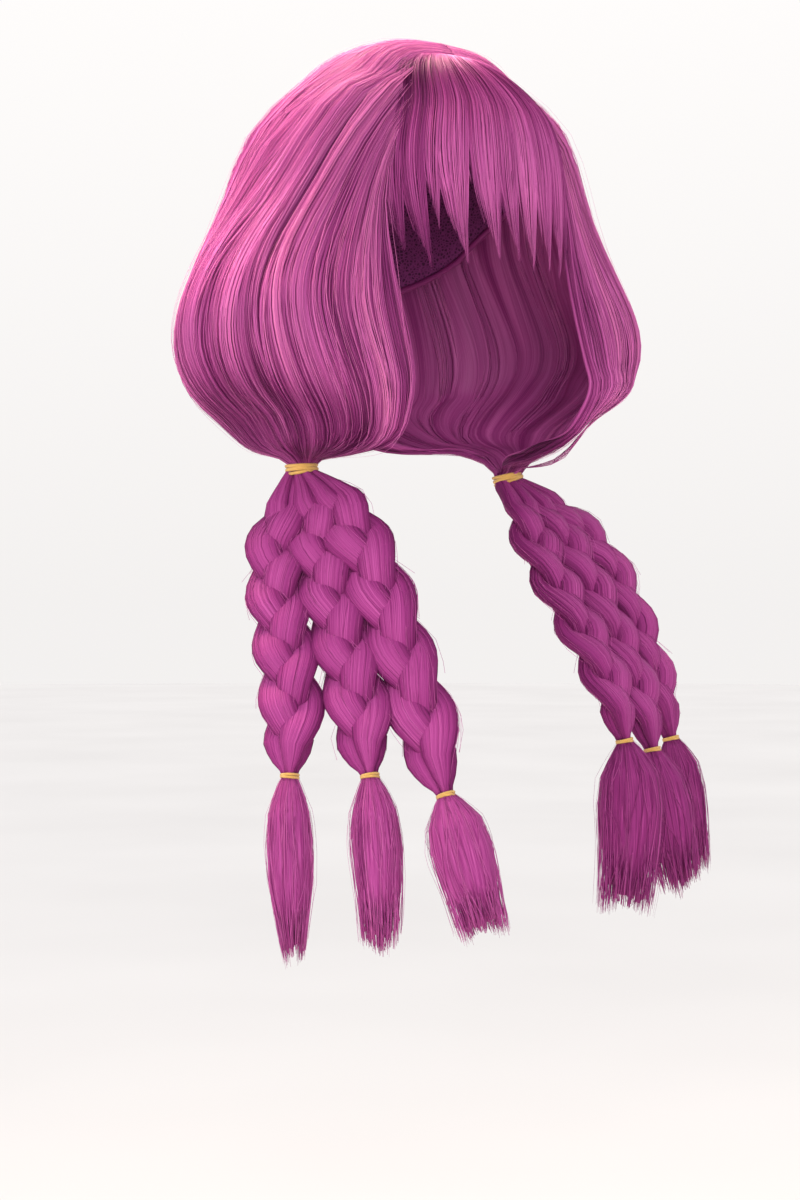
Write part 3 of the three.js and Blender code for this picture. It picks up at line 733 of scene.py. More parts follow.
def wall(share, down):
    """Thickness of the hair, in millimetres."""
    full = mix(WALL["face"], WALL["full"], blend(share, *WALL_EDGE))
    rooted = mix(WALL["top"], 1, blend(down, *WALL_EDGE))
    return full * rooted * mix(1, WALL["bunch"], blend(down, *WALL_GATHER))


print("Thickest hair, mm:", wall(1, 0.5))

# %% Bodies of the side masses
BODY_COLUMNS = 113
BODY_ROWS = 73
BODY_SINK = 2.1
BODY_THINNEST = 0.4


def sheet_piece(name, places, outward, thickness):
    """A closed sheet through a grid of places, with its own thickness at each. All are in metres."""
    columns, rows = places.shape[:2]
    bpy.ops.object.select_all(action="DESELECT")
    bpy.ops.mesh.primitive_grid_add(x_subdivisions=columns - 1, y_subdivisions=rows - 1, size=1)
    piece = bpy.context.object
    piece.name = name
    mesh = piece.data
    grid = np.zeros(len(mesh.vertices) * 3, np.float32)
    mesh.vertices.foreach_get("co", grid)
    spot = np.rint((grid.reshape(-1, 3)[:, :2] + 0.5) * [columns - 1, rows - 1]).astype(int)
    mesh.vertices.foreach_set("co", places[spot[:, 0], spot[:, 1]].astype(np.float32).ravel())
    mesh.update()
    middle = mesh.polygons[len(mesh.polygons) // 2]
    i, j = spot[middle.vertices[0]]
    if middle.normal.dot(Vector(outward[i, j])) < 0:
        bpy.ops.object.mode_set(mode="EDIT")
        bpy.ops.mesh.select_all(action="SELECT")
        bpy.ops.mesh.flip_normals()
        bpy.ops.object.mode_set(mode="OBJECT")
    thick = piece.vertex_groups.new(name="thickness")
    for index, (i, j) in enumerate(spot):
        thick.add([index], float(thickness[i, j] / thickness.max()), "REPLACE")
    solid = piece.modifiers.new("wall", "SOLIDIFY")
    solid.thickness = float(thickness.max())
    solid.offset = -1
    solid.vertex_group = "thickness"
    bpy.ops.object.modifier_apply(modifier="wall")
    bpy.ops.object.shade_smooth()
    return piece


body_share, body_down = np.meshgrid(
    np.linspace(0, 1, BODY_COLUMNS), np.linspace(0, 1, BODY_ROWS), indexing="ij")
body_places, body_outward = side_field.at(flow_share(body_share, body_down), body_down)
body_places = body_places - body_outward * (BODY_SINK + groove(body_share, body_down))[..., None]
body_wall = np.maximum(BODY_THINNEST, wall(body_share, body_down) - BODY_SINK) * MM
for side, flip in FLIP.items():
    body = sheet_piece(f"side_body_{side}", on_side(side, body_places), body_outward * flip, body_wall)
    settle(body, hair_body, "hair", f"side_hair_{side}")

# %% [markdown]
# Fibres lie on that body in clumps. In a clump they share one way down and stand highest in the middle,
# so each clump is a small rounded lock with a dark line on either side of it; the fibres sunk in those
# lines are also painted darker as shade, and the crest of a clump is painted lighter as a painted
# highlight. The hair is painted darker as shade where it turns in under the jaw, and on the wearer's left
# beside the face. A painted highlight lightens it on the crown, and the painted shade eases a little at
# the bunch.

# %% Tubes along a side mass
# Painted shade: the wearer's left mass is darker along its face edge and a little lighter over the rest.
FACE_SHADE = {"right": 0.0, "left": 0.2}
FACE_RANGE = (0.01, 0.08)
FACE_BALANCE = 0.7
FIBRE_FLATNESS = 0.6
FIBRE_STEPS = 34
STEPS_AT = [0, 0.18, 0.36, 0.82, 1]
STEPS_DOWN = [0, 0.17, 0.5, 0.88, 1]
WIDTH_OF_ROUND = 0.0014
# Painted shade where the hair turns in under the jaw, eased a little by painted light at the bunch, and a
# painted highlight on the crown.
UNDER_SHADE = 0.28
BUNCH_PAINTED_LIGHT = 0.08
CROWN_PAINTED_HIGHLIGHT = 0.12
side_down = np.interp(np.linspace(0, 1, FIBRE_STEPS), STEPS_AT, STEPS_DOWN)
side_width = np.clip(side_field.length_round(side_down) * WIDTH_OF_ROUND, 0.17, 0.42)
side_rise = blend(side_down, 0, 0.12) * (1 - 0.85 * blend(side_down, 0.82, 0.96))
side_ease = mix(0.5, 1, side_rise)
side_shade = UNDER_SHADE * blend(side_down, 0.69, 0.81) - BUNCH_PAINTED_LIGHT * blend(side_down, 0.86, 0.94)
side_shade = side_shade - CROWN_PAINTED_HIGHLIGHT * (1 - blend(side_down, 0.06, 0.26))


def scattered(draw, count, low, high):
    """One random value for each of many fibres, as a column."""
    return draw.uniform(low, high, (count, 1))


def waves(draw, count, steps, size):
    """Slow random swings along each of many fibres."""
    turns = scattered(draw, count, 0.5, 1.6)
    phase = scattered(draw, count, 0, 2 * np.pi)
    return size * draw.normal(0, 1, (count, 1)) * np.sin(2 * np.pi * turns * steps + phase)


def flat_tubes(paths, outward, width, tone):
    """Fibres a little flatter than they are wide, with widths in millimetres."""
    return tubes(paths, outward, width * MM, width * FIBRE_FLATNESS * MM, tone)


def side_tubes(side, width_share, share, height, tone, inside=False):
    """Fibres of a side mass at shares and heights given for each of their steps."""
    # Painted shade along the face edge of the wearer's left mass, a little lighter beyond it.
    tone = tone + FACE_SHADE[side] * (blend(share, *FACE_RANGE) - FACE_BALANCE)
    places, outward = side_field.at(flow_share(share, side_down), side_down)
    places = places + outward * height[..., None]
    if inside:
        outward = -outward
    return flat_tubes(on_side(side, places), outward * FLIP[side], side_width * width_share, tone)


print("Widest side fibre, half, mm:", side_width.max().round(2))

# %% Clumps of the side masses
SIDE_CLUMPS = 46
CLUMP_FIBRES = 13
CLUMP_SPREAD = {"right": 0.075, "left": 0.12}
CLUMP = {"jitter": 0.35, "half": (0.5, 1.1), "waist": 0.7, "sway": 0.3, "base": (-2.0, -1.0),
         "crest": (0.3, 1.4), "sink": 0.8}
CLUMP_FIBRE = {"offset": 0.1, "drift": 0.004, "drift_from": 0.3, "sway": 0.002, "height": 0.25}
# Tone of the clumps: random swings, a painted highlight on each crest and painted shade on fibres sunk in a
# groove.
CLUMP_TONE = {"middle": 0.44, "crest": 0.12, "sway": 0.06, "fibre": 0.07, "fibre_sway": 0.04, "sunk": 0.06}


def clumped(draw, spread_of_tones):
    """Share, height and tone of the fibres in clumps."""
    jitter = draw.uniform(-CLUMP["jitter"], CLUMP["jitter"], SIDE_CLUMPS)
    centre = (np.arange(SIDE_CLUMPS) + 0.5 + jitter) / SIDE_CLUMPS
    half = draw.uniform(*CLUMP["half"], SIDE_CLUMPS) / SIDE_CLUMPS
    sway = waves(draw, SIDE_CLUMPS, side_down, CLUMP["sway"] / SIDE_CLUMPS)
    base = draw.uniform(*CLUMP["base"], SIDE_CLUMPS)
    crest = draw.uniform(*CLUMP["crest"], SIDE_CLUMPS)
    clump_tone = draw.normal(0, spread_of_tones, (SIDE_CLUMPS, 1))
    clump_tone = clump_tone + waves(draw, SIDE_CLUMPS, side_down, CLUMP_TONE["sway"])
    owner = np.repeat(np.arange(SIDE_CLUMPS), CLUMP_FIBRES)
    count = len(owner)
    offset = np.tile(np.linspace(-1, 1, CLUMP_FIBRES), SIDE_CLUMPS)
    offset = offset + draw.normal(0, CLUMP_FIBRE["offset"], count)
    spread = mix(CLUMP["waist"], 1, np.sin(np.pi * side_down))
    drift = draw.normal(0, CLUMP_FIBRE["drift"], (count, 1)) * (side_down - CLUMP_FIBRE["drift_from"])
    share = centre[owner, None] + sway[owner] + (offset * half[owner])[:, None] * spread + drift
    share = share + waves(draw, count, side_down, CLUMP_FIBRE["sway"])
    round_off = np.maximum(0, 1 - offset ** 2)
    height = base[owner] + crest[owner] * round_off + draw.normal(0, CLUMP_FIBRE["height"], count)
    sunk = groove(share, side_down)
    height = height[:, None] * side_ease - sunk * CLUMP["sink"]
    # Painted highlight on the crest of each clump; painted shade in the grooves, then the side mass's
    # painted light and shade.
    tone = CLUMP_TONE["middle"] + CLUMP_TONE["crest"] * round_off
    tone = (tone + draw.normal(0, CLUMP_TONE["fibre"], count))[:, None] + clump_tone[owner]
    tone = tone + waves(draw, count, side_down, CLUMP_TONE["fibre_sway"])
    return share, height, tone - CLUMP_TONE["sunk"] * sunk - side_shade


print("Fibres in clumps, each side:", SIDE_CLUMPS * CLUMP_FIBRES)

# %% [markdown]
# Other fibres go with the clumps. Some wander on their own. Some cover the cut edges of the body, at the
# face and down the middle of the back, and some line the inside that shows past the face opening, with
# lower tones as painted shade. A few thin ones fly off. On the wearer's left a soft curl hangs loose under
# the mass, near its bunch.

# %% Fibres of the side masses
STRAND_COLUMNS = ("fibres", "share", "sway", "height", "tone", "width")
# The lining's lower tones are painted shade on the inside of the hair.
LOOSE, EDGE, LINING = (dict(zip(STRAND_COLUMNS, row)) for row in (
    (120, (0, 1), 0.008, (-0.6, 0.7), (0.36, 0.74), 0.7),
    (40, (-0.003, 0.003), 0.002, (0.12, 1.1), (0.3, 0.65), 1.0),
    (104, (0.01, 0.99), 0.006, (0.0, 0.8), (0.22, 0.5), 1.5),
))
LOOSE_SINK = 0.7
HAIR_EDGES = (0.003, 0.997)
STRAY = {"fibres": 30, "sway": 0.02, "clear": 0.4, "fly": 1.6, "tone": 0.75, "width": 0.3}
CURL = {"fibres": 30, "share": (0.17, 0.21), "clear": 0.6, "sag": 2.8, "uneven": (0.55, 1.0),
        "from": 0.76, "length": 0.19, "fullness": 1.4, "tone": (0.38, 0.56), "width": 0.8}
SIDE_SEED = 11


def strands(draw, kind):
    """Shares, heights and tones that are strewn within the limits of one kind of fibre."""
    count = kind["fibres"]
    share = scattered(draw, count, *kind["share"]) + waves(draw, count, side_down, kind["sway"])
    height = scattered(draw, count, *kind["height"])
    return share, height, scattered(draw, count, *kind["tone"])


def strays(draw):
    count = STRAY["fibres"]
    share = scattered(draw, count, 0, 1) + waves(draw, count, side_down, STRAY["sway"])
    height = STRAY["clear"] + np.abs(waves(draw, count, side_down, STRAY["fly"]))
    return share, height * side_rise, STRAY["tone"]


def curl(draw):
    count = CURL["fibres"]
    hanging = np.clip((side_down - CURL["from"]) / CURL["length"], 0, 1)
    sag = CURL["sag"] * np.sin(np.pi * hanging) ** CURL["fullness"]
    share = scattered(draw, count, *CURL["share"]) + 0 * side_down
    height = CURL["clear"] + scattered(draw, count, *CURL["uneven"]) * sag
    return share, height, scattered(draw, count, *CURL["tone"])


def side_bundles(draw, side):
    """All the fibres of a side mass, kind by kind."""
    yield side_tubes(side, 1.0, *clumped(draw, CLUMP_SPREAD[side]))
    share, height, tone = strands(draw, LOOSE)
    height = height * side_rise - LOOSE_SINK * groove(share, side_down)
    yield side_tubes(side, LOOSE["width"], share, height, tone - side_shade)
    for edge in HAIR_EDGES:
        share, height, tone = strands(draw, EDGE)
        share = share + edge
        height = -height * wall(share, side_down) * side_ease
        yield side_tubes(side, EDGE["width"], share, height, tone - side_shade)
    share, height, tone = strands(draw, LINING)
    height = -wall(share, side_down) - height * side_rise
    yield side_tubes(side, LINING["width"], share, height, tone, inside=True)
    yield side_tubes(side, STRAY["width"], *strays(draw))
    if side == "left":
        yield side_tubes(side, CURL["width"], *curl(draw))


for seed, side in enumerate(FLIP, SIDE_SEED):
    draw = np.random.default_rng(seed)
    fibre_piece(f"side_fibres_{side}", list(side_bundles(draw, side)), hair_fibre)

# %% [markdown]
# ## Fringe
# The fringe fans out from the front of the parting, hugs the forehead and ends in pointed locks of uneven
# length. Every lock has a direction, a tip height and a drift. Fibres are spread over the width of their
# lock, which fills the fan at the top and narrows to a point at the tip. Shorter ones lie under them.

# %% Ways down the forehead
FRINGE_ROOT = 50
FRINGE_CLOSE = 0.26
FRINGE_BROW_Z = -80
FRINGE_BROW_SHARE = 0.66
FRINGE_STEPS = 28
FRINGE_LIFT = {"root": 2.4, "brow": 6.2, "tip": 7.0, "most": 9}
fringe_down = np.linspace(0, 1, FRINGE_STEPS)


def fanned(deg, polar):
    """Azimuths on the way from the whorl to a direction at the brow, straight as seen from above."""
    reach = np.sin(polar) ** (2 / DOME["fullness"])
    close = np.radians(deg) * FRINGE_CLOSE
    x, y = reach[0] * np.sin(close), reach[0] * np.cos(close)
    over_x = reach[-1] * np.sin(np.radians(deg)) - x
    over_y = reach[-1] * np.cos(np.radians(deg)) - y
    square = over_x ** 2 + over_y ** 2
    half = x * over_x + y * over_y
    share = (np.sqrt(half ** 2 + square * (reach ** 2 - reach[0] ** 2)) - half) / square
    return np.arctan2(x + share * over_x, y + share * over_y)


def fringe_places(deg, tip_z, lift):
    """Ways down the forehead for directions (degrees, along each fibre) and heights over the cap."""
    root = polar_at(dome_top(0.0, FRINGE_ROOT, CAP_WALL), CAP_WALL)
    brow = polar_at(FRINGE_BROW_Z, CAP_WALL)
    polar = mix(root, brow, np.minimum(fringe_down / FRINGE_BROW_SHARE, 1))
    on_cap = (DOME["height"] + CAP_WALL) * np.cos(polar) ** (2 / DOME["fullness"]) - DOME["height"]
    hang = np.maximum(0, (fringe_down - FRINGE_BROW_SHARE) / (1 - FRINGE_BROW_SHARE))
    z = on_cap + (tip_z - FRINGE_BROW_Z) * hang
    total = CAP_WALL + lift
    upright = np.minimum(polar_at(np.minimum(z, 0), total), np.pi / 2)
    places = dome_point(fanned(deg, polar), upright, total)
    outward = unit(places - DOME_MIDDLE)
    raised = np.clip(lift, 0, FRINGE_LIFT["most"]) * (1 - blend(-z, 0, 60)) * blend(fringe_down, 0, 0.12)
    places[..., 2] = z + raised
    return parted(places), outward, z


def fringe_lift(z):
    """Height of the fringe over the cap, in millimetres."""
    rooted = mix(FRINGE_LIFT["root"], FRINGE_LIFT["brow"], blend(-z, 5, 60))
    return mix(rooted, FRINGE_LIFT["tip"], blend(-z, 70, 130))


print("Height over the cap at the brow, mm:", round(float(fringe_lift(FRINGE_BROW_Z)), 1))

# %% Locks of the fringe
LOCK_COLUMNS = ("deg", "tip_z", "half_deg", "tip_deg", "open_z", "fibres")
LOCKS = [dict(zip(LOCK_COLUMNS, row)) for row in (
    (-50, -124, 6.0, -44, -70, 62),
    (-41.5, -133, 5.0, -34.5, -62, 64),
    (-34.5, -112, 3.5, -32, -60, 26),
    (-27, -130, 6.5, -22, -56, 80),
    (-14.5, -128, 6.2, -9.5, -56, 80),
    (-5, -128, 4.6, -0.5, -72, 64),
    (4.5, -131, 5.6, 7, -70, 72),
    (15, -131, 7.0, 17, -62, 72),
    (28, -131, 8.0, 27, -60, 64),
    (41, -124, 8.0, 37, -60, 60),
)]
LOCK_LIFT = 5.0
# A lock's crest stands higher and is painted lighter, a painted highlight.
LOCK_CREST = {"height": 0.9, "tone": 0.06}
LOCK_FIBRE = {"offset": 0.06, "sway_deg": 0.3, "height": 0.3, "tone": 0.075}
TIP = {"uneven": 4.5, "slant": 7, "slant_power": 1.5, "half_deg": 0.5, "point": 1.7}
FRINGE_WIDTH = (0.2, 0.36)
FRINGE_TONE = 0.50
# Painted highlight at the fringe's roots, then painted shade over its top.
ROOT_HIGHLIGHT = 0.30
ROOT_SHADE = 0.31
# Painted shadow of the side masses on the outer locks, and painted shade on the shorter lock under each.
BESIDE_SHADE = 0.22
UNDER_LOCK = {"shorter": 22, "wider_deg": 2, "fewer": 3, "depth": 1.6, "tone": -0.1}
FRINGE_SEED = 23
fringe_width = mix(*FRINGE_WIDTH, blend(fringe_down, 0, 0.4)) * (1 - 0.8 * blend(fringe_down, 0.7, 1))
# Painted highlight at the roots and painted shade just below them, as tone along the fringe.
fringe_light_and_shade = ROOT_HIGHLIGHT * (1 - blend(fringe_down, 0.08, 0.2))
fringe_light_and_shade = fringe_light_and_shade - ROOT_SHADE * (1 - blend(fringe_down, 0.24, 0.62))


def lock_fibres(draw, lock, depth, tone_shift):
    """The fibres of one lock, at a depth in millimetres below the fringe's surface."""
    count = lock["fibres"]
    offset = np.linspace(-1, 1, count)[:, None] + draw.normal(0, LOCK_FIBRE["offset"], (count, 1))
    crest = 1 - offset ** 2
    tip_z = lock["tip_z"] + draw.exponential(TIP["uneven"], (count, 1))
    tip_z = tip_z + TIP["slant"] * (1 - offset) ** TIP["slant_power"]
    _, _, z = fringe_places(lock["deg"] + 0 * offset * fringe_down, tip_z, LOCK_LIFT)
    narrow = np.clip((z - lock["open_z"]) / (lock["tip_z"] - lock["open_z"]), 0, 1) ** TIP["point"]
    across = lock["deg"] + offset * lock["half_deg"]
    deg = mix(across, lock["tip_deg"] + TIP["half_deg"] * offset, narrow)
    deg = deg + waves(draw, count, fringe_down, LOCK_FIBRE["sway_deg"])
    over = LOCK_CREST["height"] * crest - depth + draw.normal(0, LOCK_FIBRE["height"], (count, 1))
    places, outward, z = fringe_places(deg, tip_z, fringe_lift(z) + over * blend(-z, 4, 30))
    tone = FRINGE_TONE + LOCK_CREST["tone"] * crest + draw.normal(0, LOCK_FIBRE["tone"], (count, 1))
    # Painted highlight and shade along the fringe; tone_shift holds the lock's painted shadow or shade,
    # with a random shift for the top locks.
    tone = tone + fringe_light_and_shade + tone_shift * blend(fringe_down, 0.1, 0.3)
    return flat_tubes(places * MM, outward, fringe_width, tone)


def under_lock(lock):
    """The shorter lock that lies below another."""
    return {
        **lock,
        "tip_z": lock["tip_z"] + UNDER_LOCK["shorter"],
        "tip_deg": lock["deg"],
        "half_deg": lock["half_deg"] + UNDER_LOCK["wider_deg"],
        "fibres": lock["fibres"] // UNDER_LOCK["fewer"],
    }


draw = np.random.default_rng(FRINGE_SEED)
bundles = []
for lock in LOCKS:
    # Painted shadow of the side masses on the outer locks; the lock underneath gets painted shade.
    beside = BESIDE_SHADE * blend(abs(lock["deg"]), 26, 46)
    bundles.append(lock_fibres(draw, lock, 0.0, draw.normal(0, 0.03) - beside))
    bundles.append(lock_fibres(draw, under_lock(lock), UNDER_LOCK["depth"], UNDER_LOCK["tone"]))
fibre_piece("fringe_fibres", bundles, hair_fibre, "fringe")

# %% [markdown]
# ## Plaits
# A plait is three bunches of hair that cross over each other in turn. Seen from the front each bunch
# swings from side to side along a cosine, while it passes front and back at twice that pace, and the
# three follow each other a third of a turn apart. Each bunch is a soft tube, fat where it rounds the
# plait's edge, covered with fibres that run along it.

# %% Ways of the plaits
FAN_Z = -285
LOW_Z = -362
PLAIT_START_Z = -239.5
PLAIT_SPACING = 4.0
PLAIT_SPREAD = np.array([0.44, 0.44, 0.32])
WAY_POINTS = 400
PLAIT_COLUMNS = ("side", "place", "fan", "low", "end", "tip", "girth", "tip_share")
PLAITS = [dict(zip(PLAIT_COLUMNS, row)) for row in (
    ("right", "outer", (97, 10), (107, 41), (112, 47, -401), (112, 51, -494), 12.5, 0.15),
    ("right", "middle", (81, 31), (84, 70), (85, 82, -400), (84, 90, -486), 13.5, 0.6),
    ("right", "inner", (68, 54), (63, 94), (59, 113, -409), (50, 133, -477), 16.5, 0.75),
    ("left", "outer", (130, 23), (154, 45), (158, 52, -392), (172, 56, -468), 14, 0.6),
    ("left", "middle", (99, 33), (120, 64), (124, 72, -396), (138, 80, -475), 16, 0.7),
    ("left", "inner", (70, 38), (89, 77), (93, 82, -389), (92, 83, -482), 19.5, 0.75),
)]
PLACE_STEP = {"outer": -1, "middle": 0, "inner": 1}


def label(plait):
    return f'{plait["side"]}_{plait["place"]}'


def fan_direction(side):
    """The level direction in which a side's three plaits lie beside each other."""
    fans = {plait["place"]: plait["fan"] for plait in PLAITS if plait["side"] == side}
    out = fans["inner"][0] - fans["outer"][0]
    ahead = fans["inner"][1] - fans["outer"][1]
    return unit(np.array([out, -ahead, 0.0]))


def plait_way(plait):
    """Points along the middle of a plait, in millimetres, as on the wearer's left."""
    start = np.array([BUNCH["lateral"], 0, PLAIT_START_Z])
    start = start + fan_direction(plait["side"]) * PLAIT_SPACING * PLACE_STEP[plait["place"]]
    knots = [start]
    for out, ahead, z in ((*plait["fan"], FAN_Z), (*plait["low"], LOW_Z), plait["end"]):
        knots.append(np.array([out, -ahead, z]))
    knots.insert(1, mix(start, knots[1], PLAIT_SPREAD))
    return smooth_path(knots, WAY_POINTS)


print("Plaits:", [label(plait) for plait in PLAITS])

# %% Bunches of a plait
PLAIT_STEPS = 40
CROSSINGS = 9
SWING = {"width": 7.0, "depth": 5.0, "top": 2.2, "end": 2.0}
BUNCH_HALF = {"width": 9.2, "lobe": 2.4, "depth": 5.4, "top": 3.0, "end": 2.0}
TOP_DEPTH = 5.0
PLAIT_TOP = {"straight": 0.14, "reach": 0.2}
PLAIT_END = {"straight": 0.1, "reach": 0.2, "hold": 0.012}
NARROWING = 2.8
FILLING = 1.25
u = np.linspace(0, 1, PLAIT_STEPS)


def plait_bunch(plait, number):
    """Middle line, wide and deep directions and half-sizes of one of the three bunches."""
    way = plait_way(plait)
    spot = np.rint(u * (len(way) - 1)).astype(int)
    along = unit(np.gradient(way, axis=0))[spot]
    fan = fan_direction(plait["side"])
    wide = unit(fan - (along @ fan)[:, None] * along)
    through = np.cross(wide, along)
    plaited = 1 - PLAIT_TOP["straight"] - PLAIT_END["straight"]
    crossed = np.clip((u - PLAIT_TOP["straight"]) / plaited, 0, 1)
    phase = np.pi / 3 * (CROSSINGS * crossed + 2 * number)
    ending = np.clip((u - 1 + PLAIT_END["reach"]) / (PLAIT_END["reach"] - PLAIT_END["hold"]), 0, 1)
    full = np.minimum(1, u / PLAIT_TOP["reach"]) * (1 - ending ** NARROWING)
    upper = u < 0.5
    swing = np.where(upper, SWING["top"], SWING["end"])
    small = np.where(upper, BUNCH_HALF["top"], BUNCH_HALF["end"])
    middle = way[spot] + wide * (mix(swing, SWING["width"], full) * np.cos(phase))[:, None]
    middle = middle + through * (mix(swing, SWING["depth"], full) * np.sin(2 * phase))[:, None]
    run = unit(np.gradient(middle, axis=0))
    deep = unit(through - (through * run).sum(-1, keepdims=True) * run)
    lobed = BUNCH_HALF["width"] + BUNCH_HALF["lobe"] * np.cos(phase) ** 2
    half_width = mix(small, lobed, full ** FILLING)
    half_depth = mix(np.where(upper, TOP_DEPTH, small), BUNCH_HALF["depth"], full ** FILLING)
    return middle, np.cross(run, deep), deep, half_width, half_depth, full


print("Crossings of a plait:", CROSSINGS)

# %% Fibres of a plait
CORE_SIDES = 18
CORE_STREAKS = 150
PLAIT_FIBRES = 32
PLAIT_WIDTH = (0.2, 0.24)
PLAIT_FLATNESS = 0.5
PLAIT_TONE = 0.36
PLAIT_FIBRE = {"swell": 0.99, "uneven": 0.01, "lift": 0.012, "wander": 0.14, "tone": 0.045,
               "tone_sway": 0.04}
# Painted shade in the creases at the two edges of each bunch.
EDGE_SHADE = 0.22
FUZZ = {"fibres": 40, "steps": 6, "from": (0.02, 0.75), "length": (0.16, 0.22), "lift": (0.05, 0.5),
        "wander": 0.3, "half_width": 0.11, "tone": 0.55}
INTO_TIE = ((0.26, 6.5), (0.12, 2.5))
PLAIT_SEED = 40


def into_tie(paths):
    """Runs fibres on upwards into the tie that they hang from, by shares inwards and rises."""
    first = paths[:, :1]
    level = (first - np.array([BUNCH["lateral"], 0, 0])) * [1, 1, 0]
    ends = [first - inwards * level + [0, 0, rise] for inwards, rise in INTO_TIE]
    return np.concatenate([*ends, paths], 1)


def extend(values):
    """Repeats the first of each fibre's values for the points that run into the tie."""
    return np.concatenate([values[:, :1]] * len(INTO_TIE) + [values], 1)


def plait_bundles(draw, plait, number):
    """A soft core, the fibres over it and a little fuzz for one bunch of a plait."""
    middle, wide, deep, half_width, half_depth, full = plait_bunch(plait, number)
    flip = FLIP[plait["side"]]

    # Painted shade in the creases where a bunch meets the next.
    def edge_shade(angle):
        return EDGE_SHADE * np.abs(np.cos(angle)) ** 3

    def round_bunch(angle, swell, at):
        across = np.cos(angle)[..., None] * wide[at]
        inward = np.sin(angle)[..., None] * deep[at]
        broad, thick = half_width[at][..., None], half_depth[at][..., None]
        places = middle[at] + (across * broad + inward * thick) * swell[..., None]
        return places, across / broad + inward / thick

    round_core = np.linspace(0, 2 * np.pi, CORE_SIDES, endpoint=False) + np.pi / 2
    core_tone = (PLAIT_TONE - edge_shade(round_core)) * np.ones((1, PLAIT_STEPS + len(INTO_TIE), 1))
    core = tubes(into_tie(middle[None]) * flip * MM, extend(deep[None]) * flip,
                 extend(half_width[None]) * MM, extend(half_depth[None]) * MM,
                 core_tone, CORE_SIDES, CORE_STREAKS)

    count = PLAIT_FIBRES
    angle = (np.arange(count)[:, None] + scattered(draw, count, -0.5, 0.5)) * 2 * np.pi / count
    swell = PLAIT_FIBRE["swell"] + draw.normal(0, PLAIT_FIBRE["uneven"], (count, 1))
    swell = swell + np.abs(waves(draw, count, u, PLAIT_FIBRE["lift"]))
    every = np.broadcast_to(np.arange(PLAIT_STEPS), (count, PLAIT_STEPS))
    wander = waves(draw, count, u, PLAIT_FIBRE["wander"])
    paths, outward = round_bunch(angle + wander, swell, every)
    width = extend(np.broadcast_to(mix(*PLAIT_WIDTH, full), (count, PLAIT_STEPS))) * MM
    tone = PLAIT_TONE + draw.normal(0, PLAIT_FIBRE["tone"], (count, 1))
    tone = tone + waves(draw, count, u, PLAIT_FIBRE["tone_sway"])
    fibres = tubes(into_tie(paths) * flip * MM, extend(outward) * flip,
                   width, width * PLAIT_FLATNESS, extend(tone - edge_shade(angle)))

    count = FUZZ["fibres"]
    step = np.linspace(0, 1, FUZZ["steps"])
    reach = scattered(draw, count, *FUZZ["from"])
    reach = reach + scattered(draw, count, *FUZZ["length"]) * step
    at = np.rint(reach * (PLAIT_STEPS - 1)).astype(int)
    lift = 1 + scattered(draw, count, *FUZZ["lift"]) * step ** 2
    turn = scattered(draw, count, 0, 2 * np.pi) + draw.normal(0, FUZZ["wander"], (count, 1)) * step
    paths, outward = round_bunch(turn, lift, at)
    thin = FUZZ["half_width"] * MM
    fuzz = tubes(paths * flip * MM, outward * flip, thin, thin, FUZZ["tone"])
    return [core, fibres, fuzz]


for seed, plait in enumerate(PLAITS, PLAIT_SEED):
    draw = np.random.default_rng(seed)
    bundles = [part for number in range(3) for part in plait_bundles(draw, plait, number)]
    strand_nodes = [f"braid_{label(plait)}_strand_{letter}" for letter in "abc"]
    fibre_piece(f"plait_{label(plait)}", bundles, hair_plait, *strand_nodes)

# %% [markdown]
# ## Tassels
# Below its band each plait ends in a loose tassel. Its fibres leave the band together, spread out to the
# full girth and end at uneven heights, some in a point and some like a brush. A core inside them keeps the
# light from coming through.

# %% Tassels
TASSEL_FIBRES = 400
TASSEL_STEPS = 12
TASSEL_STRAYS = 26
TASSEL_HEAD = 3.6
# The wearer's left tassels are painted darker, as painted shade.
TASSEL_TONE_AND_SHADE = {"right": 0.36, "left": 0.24}
TASSEL_AT = [0, 0.1, 0.28, 0.48, 0.68, 1.05]
TASSEL_GIRTH = [0, 0.35, 0.86, 1, 0.92]
TASSEL_REACH = 1.06
TASSEL_POINTS = 100
TASSEL_BEND = 0.35
TASSEL_WIDTH = (0.2, 0.32)
TASSEL_CORE = {"end": 0.95, "steps": 18, "narrow_from": 0.76, "radius": (0.94, 0.5), "tip": 0.5}
TASSEL_FIBRE = {"wander": 0.16, "place": (0.12, 1), "sway": 0.04, "outer_painted_light": 0.1, "tone": 0.06,
                "tone_sway": 0.04}
TASSEL_STRAY = {"place": (1, 1.14), "width": 0.45}
RAGGED = {"broad": 0.03, "fine": 0.02, "short": 0.03, "pointed": 0.07, "most": 0.3}
TASSEL_SEED = 60
tassel_down = np.linspace(0, 1, TASSEL_STEPS)


def tassel_way(plait):
    """Points along the middle of a tassel, in millimetres."""
    way = plait_way(plait)
    along = unit(way[-1] - way[-2])
    start = way[-1] - along
    tip = np.array([plait["tip"][0], -plait["tip"][1], plait["tip"][2]])
    knee = start + along * TASSEL_BEND * np.linalg.norm(tip - start)
    t = np.linspace(0, TASSEL_REACH, round(TASSEL_REACH * TASSEL_POINTS) + 1)[:, None]
    return (1 - t) ** 2 * start + 2 * t * (1 - t) * knee + t * t * tip


def tassel_radius(plait, share, tip_share):
    """Radius of a tassel at shares of its length, in millimetres."""
    girth = np.interp(share, TASSEL_AT, TASSEL_GIRTH + [tip_share])
    return mix(TASSEL_HEAD, plait["girth"], girth)


